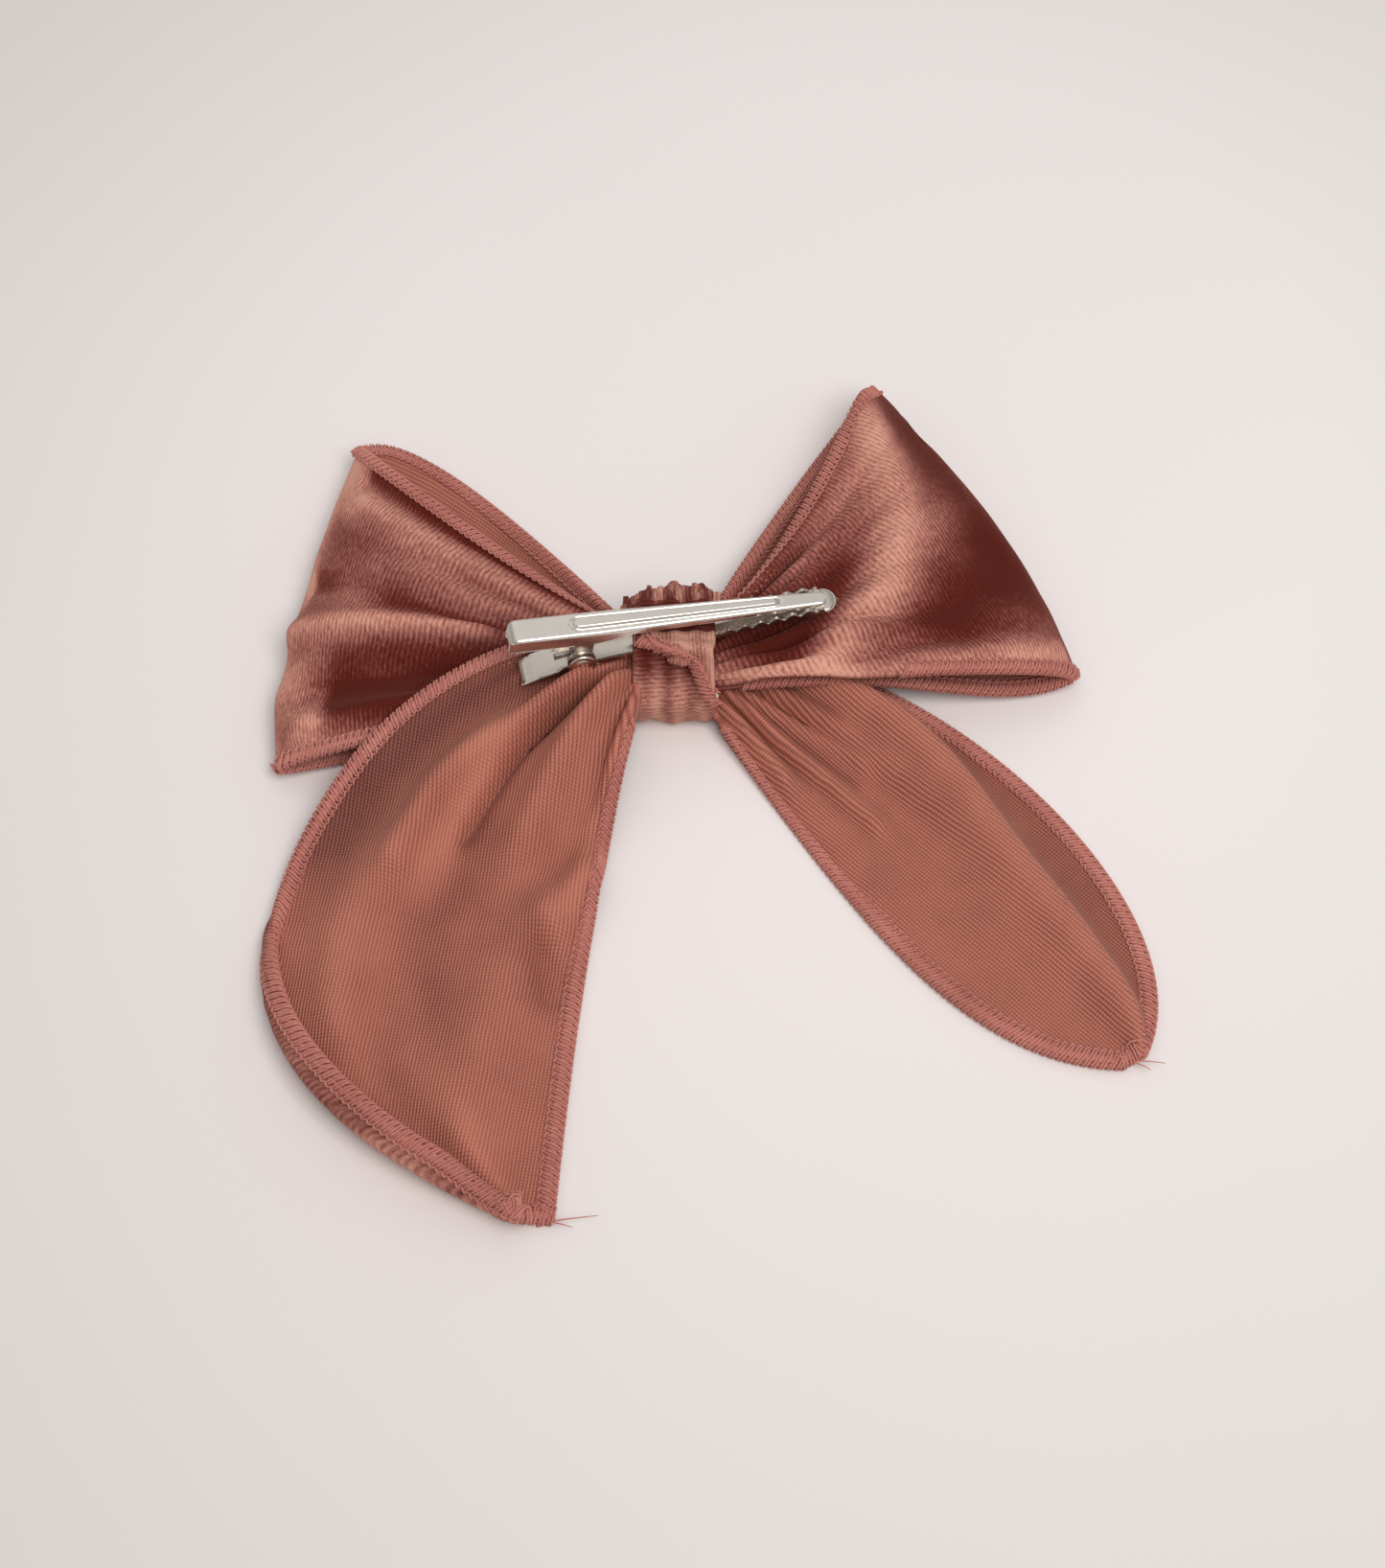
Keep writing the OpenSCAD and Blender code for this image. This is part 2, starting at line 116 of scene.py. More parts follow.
class Finish:
    """A material on one Principled shader, with one method that adds any node."""

    def __init__(self, name, constants):
        self.material = bpy.data.materials.new(name)
        self.material.use_nodes = True
        self.tree = self.material.node_tree
        self.shader = self.tree.nodes["Principled BSDF"]
        for socket, value in constants.items():
            self.shader.inputs[socket].default_value = value

    def node(self, kind, settings=None, inputs=None, output=0):
        """A node of that kind: its settings first, then values or links for its sockets."""
        made = self.tree.nodes.new("ShaderNode" + kind)
        for key, value in (settings or {}).items():
            if key == "stops":
                while len(made.color_ramp.elements) < len(value):
                    made.color_ramp.elements.new(1.0)
                for element, (place, colour) in zip(made.color_ramp.elements, value):
                    element.position = place
                    element.color = colour
            else:
                setattr(made, key, value)
        for key, value in (inputs or {}).items():
            self.link(value, made.inputs[key])
        return Signal(self, made.outputs[output])

    def link(self, value, socket):
        if isinstance(value, Signal):
            self.tree.links.new(value.socket, socket)
        else:
            socket.default_value = value

    def mix(self, factor, first, second):
        """A colour between two others."""
        return self.node("Mix", {"data_type": "RGBA"}, {0: factor, 6: first, 7: second}, 2)

    def ramp(self, value, shade, *stops):
        """A colour ramp. Each stop is (place, red, green, blue), darkened by the shade."""
        colours = [(place, linear(*(shade * part for part in colour))) for place, *colour in stops]
        return self.node("ValToRGB", {"stops": colours}, {0: value})

    def noise(self, at, scale, detail=3.0, roughness=0.55):
        return self.node("TexNoise", None, {"Vector": at, "Scale": scale, "Detail": detail,
                                            "Roughness": roughness})

    def stretched(self, at, scale):
        """The coordinates scaled by a different amount on each axis."""
        return self.node("Mapping", None, {"Vector": at, "Scale": scale})

    def bumped(self, height, distance, strength=1.0):
        """A normal from a height that runs from 0 to 1, over that distance in metres."""
        return self.node("Bump", None, {"Height": height, "Distance": distance, "Strength": strength})

    def feed(self, **signals):
        """Links signals to the shader's sockets, as Base_Color=..., and gives the material."""
        for name, signal in signals.items():
            self.link(signal, self.shader.inputs[name.replace("_", " ")])
        return self.material


def linear(red, green, blue):
    """A display colour, 0 to 255, as the linear colour that a shader takes."""
    share = np.array([red, green, blue]) / 255
    value = np.where(share <= 0.04045, share / 12.92, ((share + 0.055) / 1.055) ** 2.4)
    return (*(float(x) for x in value), 1.0)


# %% Floor, lights and world
def make_floor():
    size = 3.0
    mesh = bpy.data.meshes.new("floor")
    corners = [(-size, -size, 0), (size, -size, 0), (size, size, 0), (-size, size, 0)]
    mesh.from_pydata(corners, [], [(0, 1, 2, 3)])
    board = Finish("pale_board", {"Roughness": 0.62, "Specular IOR Level": 0.25})
    at = board.node("TexCoord", output=3)
    cloud = board.noise(at, 6.0, 2.0)
    # Painted shade: the board darkens away from a point near the bow, a light fall-off painted into its
    # colour
    painted_falloff_distance = board.node("VectorMath", {"operation": "DISTANCE"}, {0: at, 1: (0.03, 0.055, 0)}, 1)
    paint = board.mix(cloud, linear(235, 227, 225), linear(240, 232, 230))
    paint = board.mix(painted_falloff_distance * 4.0 - 0.3, paint, linear(196, 189, 185))
    mesh.materials.append(board.feed(Base_Color=paint))
    floor = bpy.data.objects.new("floor", mesh)
    scene.collection.objects.link(floor)


def make_lamp(name, place, aim, size, power, tint):
    data = bpy.data.lights.new(name, "AREA")
    data.shape = "RECTANGLE"
    data.size = size
    data.size_y = size
    data.energy = power
    data.color = tint
    lamp = bpy.data.objects.new(name, data)
    lamp.location = place
    lamp.rotation_euler = (Vector(aim) - Vector(place)).to_track_quat("-Z", "Y").to_euler()
    scene.collection.objects.link(lamp)


make_floor()
make_lamp("window", (0.22, -0.38, 0.8), (0, 0, 0), 0.6, 5.7, (1.0, 1.0, 0.995))
make_lamp("ceiling", (-0.16, 0.45, 0.7), (0, 0, 0), 0.9, 0.9, (1.0, 0.99, 0.98))
world = bpy.data.worlds.new("room_light")
world.use_nodes = True
world.node_tree.nodes["Background"].inputs["Color"].default_value = (1.0, 0.99, 0.98, 1.0)
world.node_tree.nodes["Background"].inputs["Strength"].default_value = 0.4
scene.world = world

# %% [markdown]
# ## Finishes
# The ribbon is a stretch velvet. Its face has a short pile: seen along the pile it is a
# deep russet, and where the pile leans away, or at a grazing angle, it turns pale pink.
# The shader's own sheen does the grazing part. An attribute set below does the rest: brushed
# patches of pile, with painted shade in the hollows and folds and a painted highlight on the
# crests. The ribbon's back is a fine knit, whose wales run along the ribbon, so both finishes
# read the ribbon's UV map, which is in millimetres.

# %% Velvet
WALE_MM = 0.5
PILE_MM = 0.66
COURSE_MM = 0.46


def waves(finish, value, pitch, phase=0.0):
    """A wave from 0 to 1 that repeats every pitch."""
    turn = value * (2 * math.pi / pitch) + phase
    return finish.node("Math", {"operation": "SINE"}, {0: turn}) * 0.5 + 0.5


def cloth_axes(finish):
    """The ribbon's UV map, and its two axes: along the ribbon and across it, in mm."""
    at = finish.node("UVMap", {"uv_map": "ribbon"})
    axes = finish.node("SeparateXYZ", None, {0: at})
    along = axes
    across = Signal(finish, axes.socket.node.outputs[1])
    return at, along, across


def make_velvet(name="velvet", shade=1.0):
    velvet = Finish(name, {
        "Roughness": 0.85, "Specular IOR Level": 0.15,
        "Sheen Weight": 0.2, "Sheen Roughness": 0.4, "Sheen Tint": linear(238, 168, 150)})
    at, along, across = cloth_axes(velvet)
    nap = velvet.node("Attribute", {"attribute_name": "nap"}, output=2)
    crush = velvet.noise(velvet.stretched(at, (0.05, 0.08, 1)), 1.0, 3.0, 0.6)
    slant = velvet.node("Mapping", {}, {"Vector": at, "Rotation": (0, 0, 0.12), "Scale": (2.4, 0.75, 1)})
    fibre = velvet.noise(slant, 1.0, 4.0, 0.8)
    rows = waves(velvet, along + across * 0.06 + (fibre - 0.5) * 0.3, PILE_MM)
    # lean mixes the attribute's brushed pile, painted shade and painted highlight with the pile's own crush,
    # fibres and rows
    lean = nap * 1.3 + (crush - 0.5) * 0.8 + (fibre - 0.5) * 1.25 + (rows - 0.5) * 0.2 - 0.15
    paint = velvet.ramp(lean, shade, (0.05, 86, 25, 15), (0.34, 116, 54, 44), (0.56, 150, 92, 84),
                        (0.76, 186, 122, 106), (1.0, 218, 160, 140))
    normal = velvet.bumped(fibre * 0.7 + rows * 0.3, 0.00025, 0.8)
    return velvet.feed(Base_Color=paint, Normal=normal)


# %% Knit back, thread
def make_knit():
    knit = Finish("knit_reverse", {
        "Roughness": 0.62, "Specular IOR Level": 0.28,
        "Sheen Weight": 0.25, "Sheen Roughness": 0.4, "Sheen Tint": linear(236, 190, 170)})
    at, along, across = cloth_axes(knit)
    drift = knit.noise(knit.stretched(at, (0.12, 0.12, 1)), 1.0, 2.0)
    fuzz = knit.noise(at, 2.6, 2.0)
    wale = waves(knit, across + drift * 0.6, WALE_MM)
    course = waves(knit, along, COURSE_MM)
    relief = wale * 0.5 + course * 0.14 + wale * course * 0.36
    # The attribute is painted light on the knit: a painted highlight on crests, painted shade in folds and
    # beyond crests. The wale relief tints it too: its own stripe pattern, with painted shade in the grooves.
    painted_light_on_knit = knit.node("Attribute", {"attribute_name": "nap"}, output=2)
    tone = relief * 0.5 + fuzz * 0.2 + drift * 0.2 + (painted_light_on_knit - 0.5) * 0.62 + 0.1
    paint = knit.ramp(tone, 1, (0.0, 84, 44, 40), (0.3, 138, 78, 66), (0.55, 182, 108, 90),
                      (0.9, 208, 134, 112))
    rough = 0.66 - wale * 0.14
    return knit.feed(Base_Color=paint, Roughness=rough, Normal=knit.bumped(relief, 0.00018, 1.0))


def make_thread():
    thread = Finish("overlock_thread", {
        "Roughness": 0.6, "Specular IOR Level": 0.3,
        "Sheen Weight": 0.5, "Sheen Roughness": 0.4, "Sheen Tint": linear(240, 180, 168)})
    at = thread.node("TexCoord", output=3)
    strand = thread.noise(at, 2600.0, 3.0, 0.7)
    run = thread.noise(at, 90.0, 2.0)
    paint = thread.ramp(strand * 0.6 + run * 0.4, 1, (0.25, 160, 90, 80), (0.55, 198, 126, 114),
                        (0.8, 226, 162, 148))
    return thread.feed(Base_Color=paint, Normal=thread.bumped(strand, 0.00012, 0.6))


# %% Steel and glue
def make_steel(name, light, dark, roughness):
    steel = Finish(name, {"Metallic": 1.0, "Anisotropic": 0.2})
    at = steel.node("TexCoord", output=3)
    grain = steel.noise(steel.stretched(at, (300, 1800, 900)), 1.0, 3.0, 0.6)
    smudge = steel.noise(at, 170.0, 3.0, 0.6)
    paint = steel.mix(smudge, light, dark)
    rough = roughness + smudge * 0.1 + grain * 0.05
    return steel.feed(Base_Color=paint, Roughness=rough, Normal=steel.bumped(grain, 0.00001, 0.15))


def make_glue():
    glue = Finish("hot_glue", {
        "Roughness": 0.3, "Transmission Weight": 0.25, "Subsurface Weight": 0.35,
        "Subsurface Radius": (0.002, 0.002, 0.002), "IOR": 1.46})
    at = glue.node("TexCoord", output=3)
    cloud = glue.noise(at, 900.0, 3.0)
    paint = glue.mix(cloud, linear(226, 218, 210), linear(248, 244, 240))
    return glue.feed(Base_Color=paint, Normal=glue.bumped(cloud, 0.0002, 0.4))


VELVET = make_velvet()
# The band's velvet is the ribbon's velvet darkened to 0.93, a painted shade on the knot under the clip
SHADED_BAND_VELVET = make_velvet("band_velvet", 0.93)
KNIT = make_knit()
THREAD = make_thread()
STEEL = make_steel("clip_steel", linear(238, 232, 224), linear(216, 209, 200), 0.2)
# The lower jaw is the same steel painted darker, a painted shade for the jaw that lies under the upper one
SHADED_LOWER_STEEL = make_steel("clip_steel_lower_shaded", linear(226, 217, 206), linear(196, 187, 177), 0.16)
WIRE = make_steel("spring_steel", linear(190, 184, 176), linear(150, 144, 137), 0.26)
GLUE = make_glue()
print("finishes:", [m.name for m in bpy.data.materials])

# %% [markdown]
# ## From a grid of points to a piece
# Every surface is an array of points, one for each pair of parameters. A grid of n by m
# points has (n - 1) by (m - 1) four-sided faces, whose corner numbers come from one
# np.arange, so nothing loops over vertices. A tube is the same grid with its rings closed.


# %% Grids
def quads(rows, columns, closed=False):
    """Corner numbers of the faces of a grid. closed joins the last column to the first."""
    index = np.arange(rows * columns).reshape(rows, columns)
    if closed:
        index = np.concatenate([index, index[:, :1]], axis=1)
    corners = [index[:-1, :-1], index[1:, :-1], index[1:, 1:], index[:-1, 1:]]
    return np.stack(corners, axis=-1).reshape(-1, 4)


def closed_faces(rows, columns, flip=False):
    """The walls of a closed grid and a lid on each end. flip turns every face round."""
    last = np.arange(columns) + (rows - 1) * columns
    faces = [*quads(rows, columns, closed=True), np.arange(columns), last[::-1]]
    return [face[::-1] if flip else face for face in faces]


def make_piece(name, points, faces, materials, stands_for=(), body="bow", uv=None, nap=None):
    """A smooth mesh at the origin that rides on a body and stands for some of the frame's nodes.

    points are in mm, uv gives one pair for each of them, and the nap argument one number each: brushed pile
    with painted shade and painted highlight.
    """
    points = np.asarray(points, np.float32).reshape(-1, 3)
    sizes = [len(face) for face in faces]
    corners = np.concatenate(faces).astype(np.int32)
    mesh = bpy.data.meshes.new(name)
    mesh.vertices.add(len(points))
    mesh.vertices.foreach_set("co", points.ravel() * MM)
    mesh.loops.add(len(corners))
    mesh.polygons.add(len(faces))
    mesh.loops.foreach_set("vertex_index", corners)
    mesh.polygons.foreach_set("loop_start", np.cumsum([0, *sizes[:-1]]).astype(np.int32))
    mesh.polygons.foreach_set("use_smooth", np.ones(len(faces), bool))
    mesh.update(calc_edges=True)
    mesh.validate()
    if uv is not None:
        layer = mesh.uv_layers.new(name="ribbon")
        layer.data.foreach_set("uv", np.asarray(uv, np.float32).reshape(-1, 2)[corners].ravel())
    if nap is not None:
        layer = mesh.attributes.new("nap", "FLOAT", "POINT")
        layer.data.foreach_set("value", np.asarray(nap, np.float32).ravel())
    for material in materials:
        mesh.materials.append(material)
    piece = bpy.data.objects.new(name, mesh)
    scene.collection.objects.link(piece)
    if body:
        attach(piece, body)
    if stands_for:
        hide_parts(*stands_for)
    return piece


def thicken(piece, thickness, offset, inner=0):
    """Gives a sheet its thickness in mm. inner is the step to its inner side's material."""
    wall = piece.modifiers.new("thickness", "SOLIDIFY")
    wall.thickness = thickness * MM
    wall.offset = offset
    wall.material_offset = inner
    wall.material_offset_rim = 0


def unit(vectors):
    """The same vectors, each one long."""
    return vectors / np.maximum(np.linalg.norm(vectors, axis=-1, keepdims=True), 1e-9)


def normals(points):
    """The unit normal at each point of a grid: one direction crossed with the other."""
    first = np.gradient(points, axis=0)
    second = np.gradient(points, axis=1)
    return unit(np.cross(first, second))


def grid_area(points):
    """The area of a grid, from the two diagonals of each face."""
    one = points[1:, 1:] - points[:-1, :-1]
    other = points[1:, :-1] - points[:-1, 1:]
    return float(np.linalg.norm(np.cross(one, other), axis=-1).sum() / 2)


def tube_grid(paths, radius, side, sides=6):
    """Rings of points round each of many paths.

    paths is (count, steps, 3). A ring at p is p + radius (a cos t + b sin t), where a is
    side made square to the path, and b is square to both. radius may vary along the path.
    """
    run = unit(np.gradient(paths, axis=1))
    a = unit(side - run * np.sum(side * run, axis=-1, keepdims=True))
    b = np.cross(run, a)
    turn = np.arange(sides) * 2 * np.pi / sides
    reach = np.broadcast_to(radius, paths.shape[:2])[..., None, None]
    ring = a[:, :, None] * np.cos(turn)[:, None] + b[:, :, None] * np.sin(turn)[:, None]
    return paths[:, :, None] + reach * ring


def tube_faces(count, steps, sides):
    """The faces of many tubes. Their rings turn with their run, so the faces are flipped."""
    one = closed_faces(steps, sides, flip=True)
    return [face + tube * steps * sides for tube in range(count) for face in one]


# %% [markdown]
# ## The ribbon's shape
# A gathered ribbon has two scales of shape. The large one is the loop or the leaf that its
# edges draw, and three cubic curves give it. The small one is what the spare width does:
# it stands in pleats at the knot, and dies away in a few long ridges. Cloth simulation
# would find such folds by itself, but not these ones, so ridges are listed as bell
# curves about a line on the cloth, and pushed out along the surface's own normal.

# %% Curves and folds
RIBBON_W = 59.0
CLOTH_T = 0.95
LOOP_REACH = 52.0
LOOP_H = 9.0
TAIL_L = 85.0
RIDGE_H = 7.0


def bezier(points, t):
    """The cubic curve (1-t)^3 a + 3(1-t)^2 t b + 3(1-t) t^2 c + t^3 d, for an array of t."""
    a, b, c, d = (np.asarray(p, float) for p in points)
    t = np.asarray(t)[..., None]
    return (1 - t) ** 3 * a + 3 * (1 - t) ** 2 * t * b + 3 * (1 - t) * t ** 2 * c + t ** 3 * d


def hump(x):
    """A bell curve, 1 at x = 0."""
    return np.exp(-x * x)


def mix(a, b, t):
    return a + (b - a) * t


def smooth_step(low, high, x):
    """0 below low, 1 above high, and 3 t^2 - 2 t^3 between them."""
    t = np.clip((x - low) / (high - low), 0, 1)
    return t * t * (3 - 2 * t)


def ridge(along, across, line, width, height):
    """A ridge on the cloth: height times a bell curve of the distance to a bent line.

    along and across are the cloth's own coordinates in mm, and line is a list of points
    in them. The distance to each straight stretch is that to its nearest point.
    """
    nearest = np.full(np.shape(along), np.inf)
    for (x0, y0), (x1, y1) in zip(line[:-1], line[1:]):
        run = np.array([x1 - x0, y1 - y0])
        t = ((along - x0) * run[0] + (across - y0) * run[1]) / (run @ run)
        t = np.clip(t, 0, 1)
        nearest = np.minimum(nearest, np.hypot(along - x0 - t * run[0], across - y0 - t * run[1]))
    return height * hump(nearest / width)


def ridges(along, across, total, table):
    """The total with the ridges of a table added to it, each as (line, width, height)."""
    for line, width, height in table:
        total = total + ridge(along, across, line, width, height)
    return total


def pleats(distance, across, count, depth, reach, seed):
    """Gathers at the knot: count waves across the ribbon, each with its own phase and depth.

    They are deepest at the distance reach from the knot, and die away as x e^(1 - x).
    """
    draw = np.random.default_rng(seed)
    share = across / RIBBON_W
    total = np.zeros(np.shape(distance))
    for wave in range(3):
        turns = count + wave * 1.7
        total = total + np.cos(2 * np.pi * turns * share + draw.uniform(0, 6.28)) / (1 + 0.7 * wave)
    x = distance / reach
    return depth * total / 2 * x * np.exp(1 - x)


# %% [markdown]
# ## Loops
# A loop runs out from the knot along its front layer, round the outer fold and back along
# its back layer. q counts that, 0 to 1 and 1 to 2, and w runs from the upper rim, 0, to
# the lower one, 1. The velvet faces outwards, so the back of the cloth is the lining that
# shows between the rims.

# %% Loop surfaces
band_low, band_high = (np.array(corner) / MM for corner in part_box("centre_band"))
WAIST_X = band_high[0] - 0.2
THROAT_X = 3.4
THROAT_W = 4.3
HALF_W = RIBBON_W / 2
CLEAR_Z = CLOTH_T / 2 + 0.3
LOOP_LENGTH = 108.0


def placed(origin, angle, along, across, z):
    """A point along and across an axis that leaves origin at the angle, in degrees."""
    a = math.radians(angle)
    return np.array([origin[0] + along * math.cos(a) - across * math.sin(a),
                     origin[1] + along * math.sin(a) + across * math.cos(a), z])


def rim(points, q):
    """A rim: one cubic curve along the front layer, another back along the back layer."""
    front = bezier(points[:4], np.clip(q, 0, 1))
    back = bezier(points[3:], np.clip(q - 1, 0, 1))
    return np.where((q < 1)[..., None], front, back)


def loop_points(rims, q, w):
    """The parabola in w through three rims: (1-w)(1-2w) a + 4w(1-w) b + w(2w-1) c."""
    a, b, c = (rim(points, q) for points in rims)
    w = w[..., None]
    return (1 - w) * (1 - 2 * w) * a + 4 * w * (1 - w) * b + w * (2 * w - 1) * c


def rim_places(hand, angle):
    """at() is a point on a loop's axis and throat() one at the knot. hand is -1 for left."""
    def at(along, across, z):
        return placed((hand * WAIST_X, 0), angle, along * LOOP_REACH, hand * across * HALF_W, z)

    def throat(side, z):
        return np.array([hand * THROAT_X, side * THROAT_W, z])

    return at, throat


def left_loop_rims():
    at, throat = rim_places(-1, 164)
    return [
        [throat(1, 3.9), at(0.31, 0.55, 4.4), at(0.9, 1.33, -0.4), at(1.02, 1, 4.5),
         at(0.88, 0.75, LOOP_H + 2), at(0.33, 0.31, LOOP_H), throat(1, 6)],
        [throat(0, 3.9), at(0.3, 0, CLEAR_Z - 1), at(0.98, -0.16, CLEAR_Z), at(0.98, -0.16, 4.2),
         at(0.95, -0.16, LOOP_H + 2), at(0.33, -0.05, LOOP_H - 2), throat(0, 6)],
        [throat(-1, 3.9), at(0.28, -0.3, CLEAR_Z - 0.8), at(0.84, -0.96, CLEAR_Z - 0.2), at(0.87, -1, 3),
         at(0.8, -0.98, LOOP_H - 0.5), at(0.28, -0.36, LOOP_H - 2.6), throat(-1, 6)]]


def right_loop_rims():
    at, throat = rim_places(1, 35)
    return [
        [throat(1, 6), at(0.3, 0.5, 6), at(0.85, 1, -1.2), at(1, 1.03, 5),
         at(0.8, 0.85, LOOP_H + 3), at(0.33, 0.14, LOOP_H + 2), throat(1, 8.2)],
        [throat(0, 6), at(0.3, 0, 4.5), at(0.97, -0.06, CLEAR_Z - 2.6), at(0.985, -0.06, 4.4),
         at(0.96, -0.06, LOOP_H + 2.5), at(0.33, -0.04, LOOP_H + 1.5), throat(0, 8.2)],
        [throat(-1, 6), at(0.42, -0.6, RIDGE_H + 5.5), at(0.62, -0.9, CLEAR_Z - 3.4), at(0.85, -1.03, 3),
         at(0.8, -1.02, LOOP_H - 1), at(0.36, -0.7, RIDGE_H + 6.6), throat(-1, 8.2)]]


def left_loop_folds(q, across):
    """How far the left loop's cloth stands out from its smooth shape, in mm."""
    along = (q - 1) * LOOP_LENGTH / 2
    return ridges(along, across, 0, [
        ([(4, 3), (13, 2), (33, -1)], 2.8, 1.7),
        ([(15, 14), (28, 11)], 5.0, -2.6),
        ([(9, 23), (26, 22)], 3.0, 0.9),
        ([(8, -25.5), (50, -26)], 1.6, -1.0),
        ([(10, -21), (40, -18)], 3.0, 1.0),
        ([(4, -6), (14, -8)], 3.2, -1.1),
        ([(18, -12), (36, -9)], 4.5, 0.9),
        ([(1, 15), (7, 24)], 4.0, 0.8),
        ([(30, -4), (48, -4)], 2.0, -0.8)])


def right_loop_folds(q, across):
    """How far the right loop's cloth stands out from its smooth shape, in mm."""
    along = (q - 1) * LOOP_LENGTH / 2
    return ridges(along, across, 0, [
        ([(8, -30), (14, -22), (24, -3), (29, 5), (33, 13), (38, 20)], 4.0, 2.3),
        ([(39, 20), (43, 26), (48, 27), (53, 22)], 3.2, 1.8),
        ([(46, 3), (44, 15)], 5.0, -1.6),
        ([(35, -5), (40, 4)], 4.0, -1.0),
        ([(14, 8), (26, 17)], 7.0, -1.6),
        ([(5, -18), (10, 2)], 6.0, -0.9),
        ([(8, 25), (30, 26)], 3.0, 1.0),
        ([(36, -20), (48, -14)], 3.0, -1.2),
        ([(36, -10), (50, -6)], 2.4, 0.9)])


def loop_grid(rims, folds, outward, seed, rows=190, columns=64):
    """A loop's points and their place on the flat ribbon, in mm."""
    q, w = np.meshgrid(np.linspace(0, 2, rows), np.linspace(0, 1, columns), indexing="ij")
    across = (w - 0.5) * RIBBON_W
    points = loop_points(rims, q, w)
    knot_distance = np.minimum(q, 2 - q) * LOOP_LENGTH / 2
    stand = folds(q, across) * smooth_step(0, 9, knot_distance)
    stand = stand + pleats(knot_distance, across, 5.3, 1.9, 8.0, seed)
    points = points + outward * normals(points) * stand[..., None]
    points[..., 2] = np.maximum(points[..., 2], CLOTH_T / 2 + 0.05)
    return points, np.stack([q * LOOP_LENGTH / 2, across], axis=-1)


# %% [markdown]
# The pile of a handled velvet lies brushed in patches: a pale patch leans to the light and
# a dark one away from it. On top of that the crests get a painted highlight, and the hollows
# and folds a painted shade. One attribute keeps both, 0 for dark and 1 for pale, as soft
# patches placed on the ribbon. The knit side reads it too, as painted light alone: a painted
# highlight on a crest, and painted shade in a fold and beyond a crest.

# %% Brushed pile, painted shade and painted highlight
def left_loop_nap_and_shade(along, across):
    """The left loop's back layer: brushed pile, with a painted highlight at its fold and its crest and
    painted shade in the hollow.
    """
    return ridges(along, across, 0.5, [
        ([(0, -28), (1, 0), (1, 26)], 3.0, 0.3),
        ([(4, -26), (7, -22)], 4.0, 0.24),
        ([(6, 12), (10, 26)], 4.0, 0.2),
        ([(5, 3), (13, 2), (33, -1)], 1.9, 0.28),
        ([(16, 8), (36, 4)], 2.6, -0.2),
        ([(17, 17), (23, 18), (31, 13)], 5.6, -0.86),
        ([(12, 22), (13, 16)], 2.2, 0.34),
        ([(9, -28), (50, -26)], 2.0, -0.4),
        ([(10, -22), (44, -20)], 2.6, 0.18),
        ([(18, -13), (34, -13)], 3.5, 0.1),
        ([(22, -5), (34, -4)], 3.0, -0.3),
        ([(5, -7), (9, -7)], 2.8, -0.24)])


def right_loop_nap_and_shade(along, across):
    """The right loop's back layer: a painted highlight on the crest round a hollow in painted shade, and
    painted shade on the outer fold.
    """
    return ridges(along, across, 0.44, [
        ([(8, -30), (14, -23), (24, -4), (29, 5), (33, 13)], 4.6, 0.36),
        ([(39, 14), (39, 21), (43, 27), (48, 28), (53, 22)], 3.4, 0.36),
        ([(6, 27), (20, 27), (40, 29)], 2.8, 0.32),
        ([(3, -24), (6, -6), (8, 12)], 6.0, -0.36),
        ([(12, 8), (25, 17)], 6.5, -0.36),
        ([(46, 3), (44, 16)], 4.2, -0.46),
        ([(33, -6), (38, 2), (41, 8)], 3.6, -0.34),
        ([(22, -24), (36, -16)], 3.4, 0.12),
        ([(44, -22), (50, -4)], 4.0, -0.16)])


def make_cloth(name, node, points, flat_place, materials, flat, lean, area=None):
    """A sheet with a velvet side and a knit side, that prints its area against the size it was cut to.

    The first material is on the side that the normals point to. Solidify gives the other
    side the second one.
    """
    piece = make_piece(name, points, quads(*points.shape[:2]), materials, [node],
                       uv=flat_place, nap=lean)
    thicken(piece, CLOTH_T, 0, inner=1)
    share = grid_area(points) / (area or flat[0] * flat[1])
    print(name, "cloth area is", round(share, 2), "of its flat area")
    return piece


left_loop_at, left_loop_flat = loop_grid(left_loop_rims(), left_loop_folds, -1, 3)
right_loop_at, right_loop_flat = loop_grid(right_loop_rims(), right_loop_folds, 1, 8)
left_nap_and_shade = left_loop_nap_and_shade(left_loop_flat[..., 0] - LOOP_LENGTH / 2, left_loop_flat[..., 1])
right_nap_and_shade = right_loop_nap_and_shade(right_loop_flat[..., 0] - LOOP_LENGTH / 2, right_loop_flat[..., 1])
left_loop = make_cloth("left_loop_cloth", "left_loop", left_loop_at[:, ::-1], left_loop_flat[:, ::-1],
                       [VELVET, KNIT], (RIBBON_W, LOOP_LENGTH), left_nap_and_shade[:, ::-1])
right_loop = make_cloth("right_loop_cloth", "right_loop", right_loop_at, right_loop_flat,
                        [VELVET, KNIT], (RIBBON_W, LOOP_LENGTH), right_nap_and_shade)

# %% [markdown]
# ## Tails
# A tail is a leaf between a long edge, v = 0, and a short one, v = 1. Its height over the
# table is a formula: high at the knot, with the folds that the gathers send down it. The
# left tail's lower edge curls up and back, so the velvet shows there. A curl is the last
# few millimetres of the cloth wrapped on an ellipse: x = r sin t and z = 0.6 r (1 - cos t).

# %% Tail surfaces
LEFT_TAIL_Z = LOOP_H + 0.1
RIGHT_TAIL_Z = 3.8
TAIL_CUT = 95.0


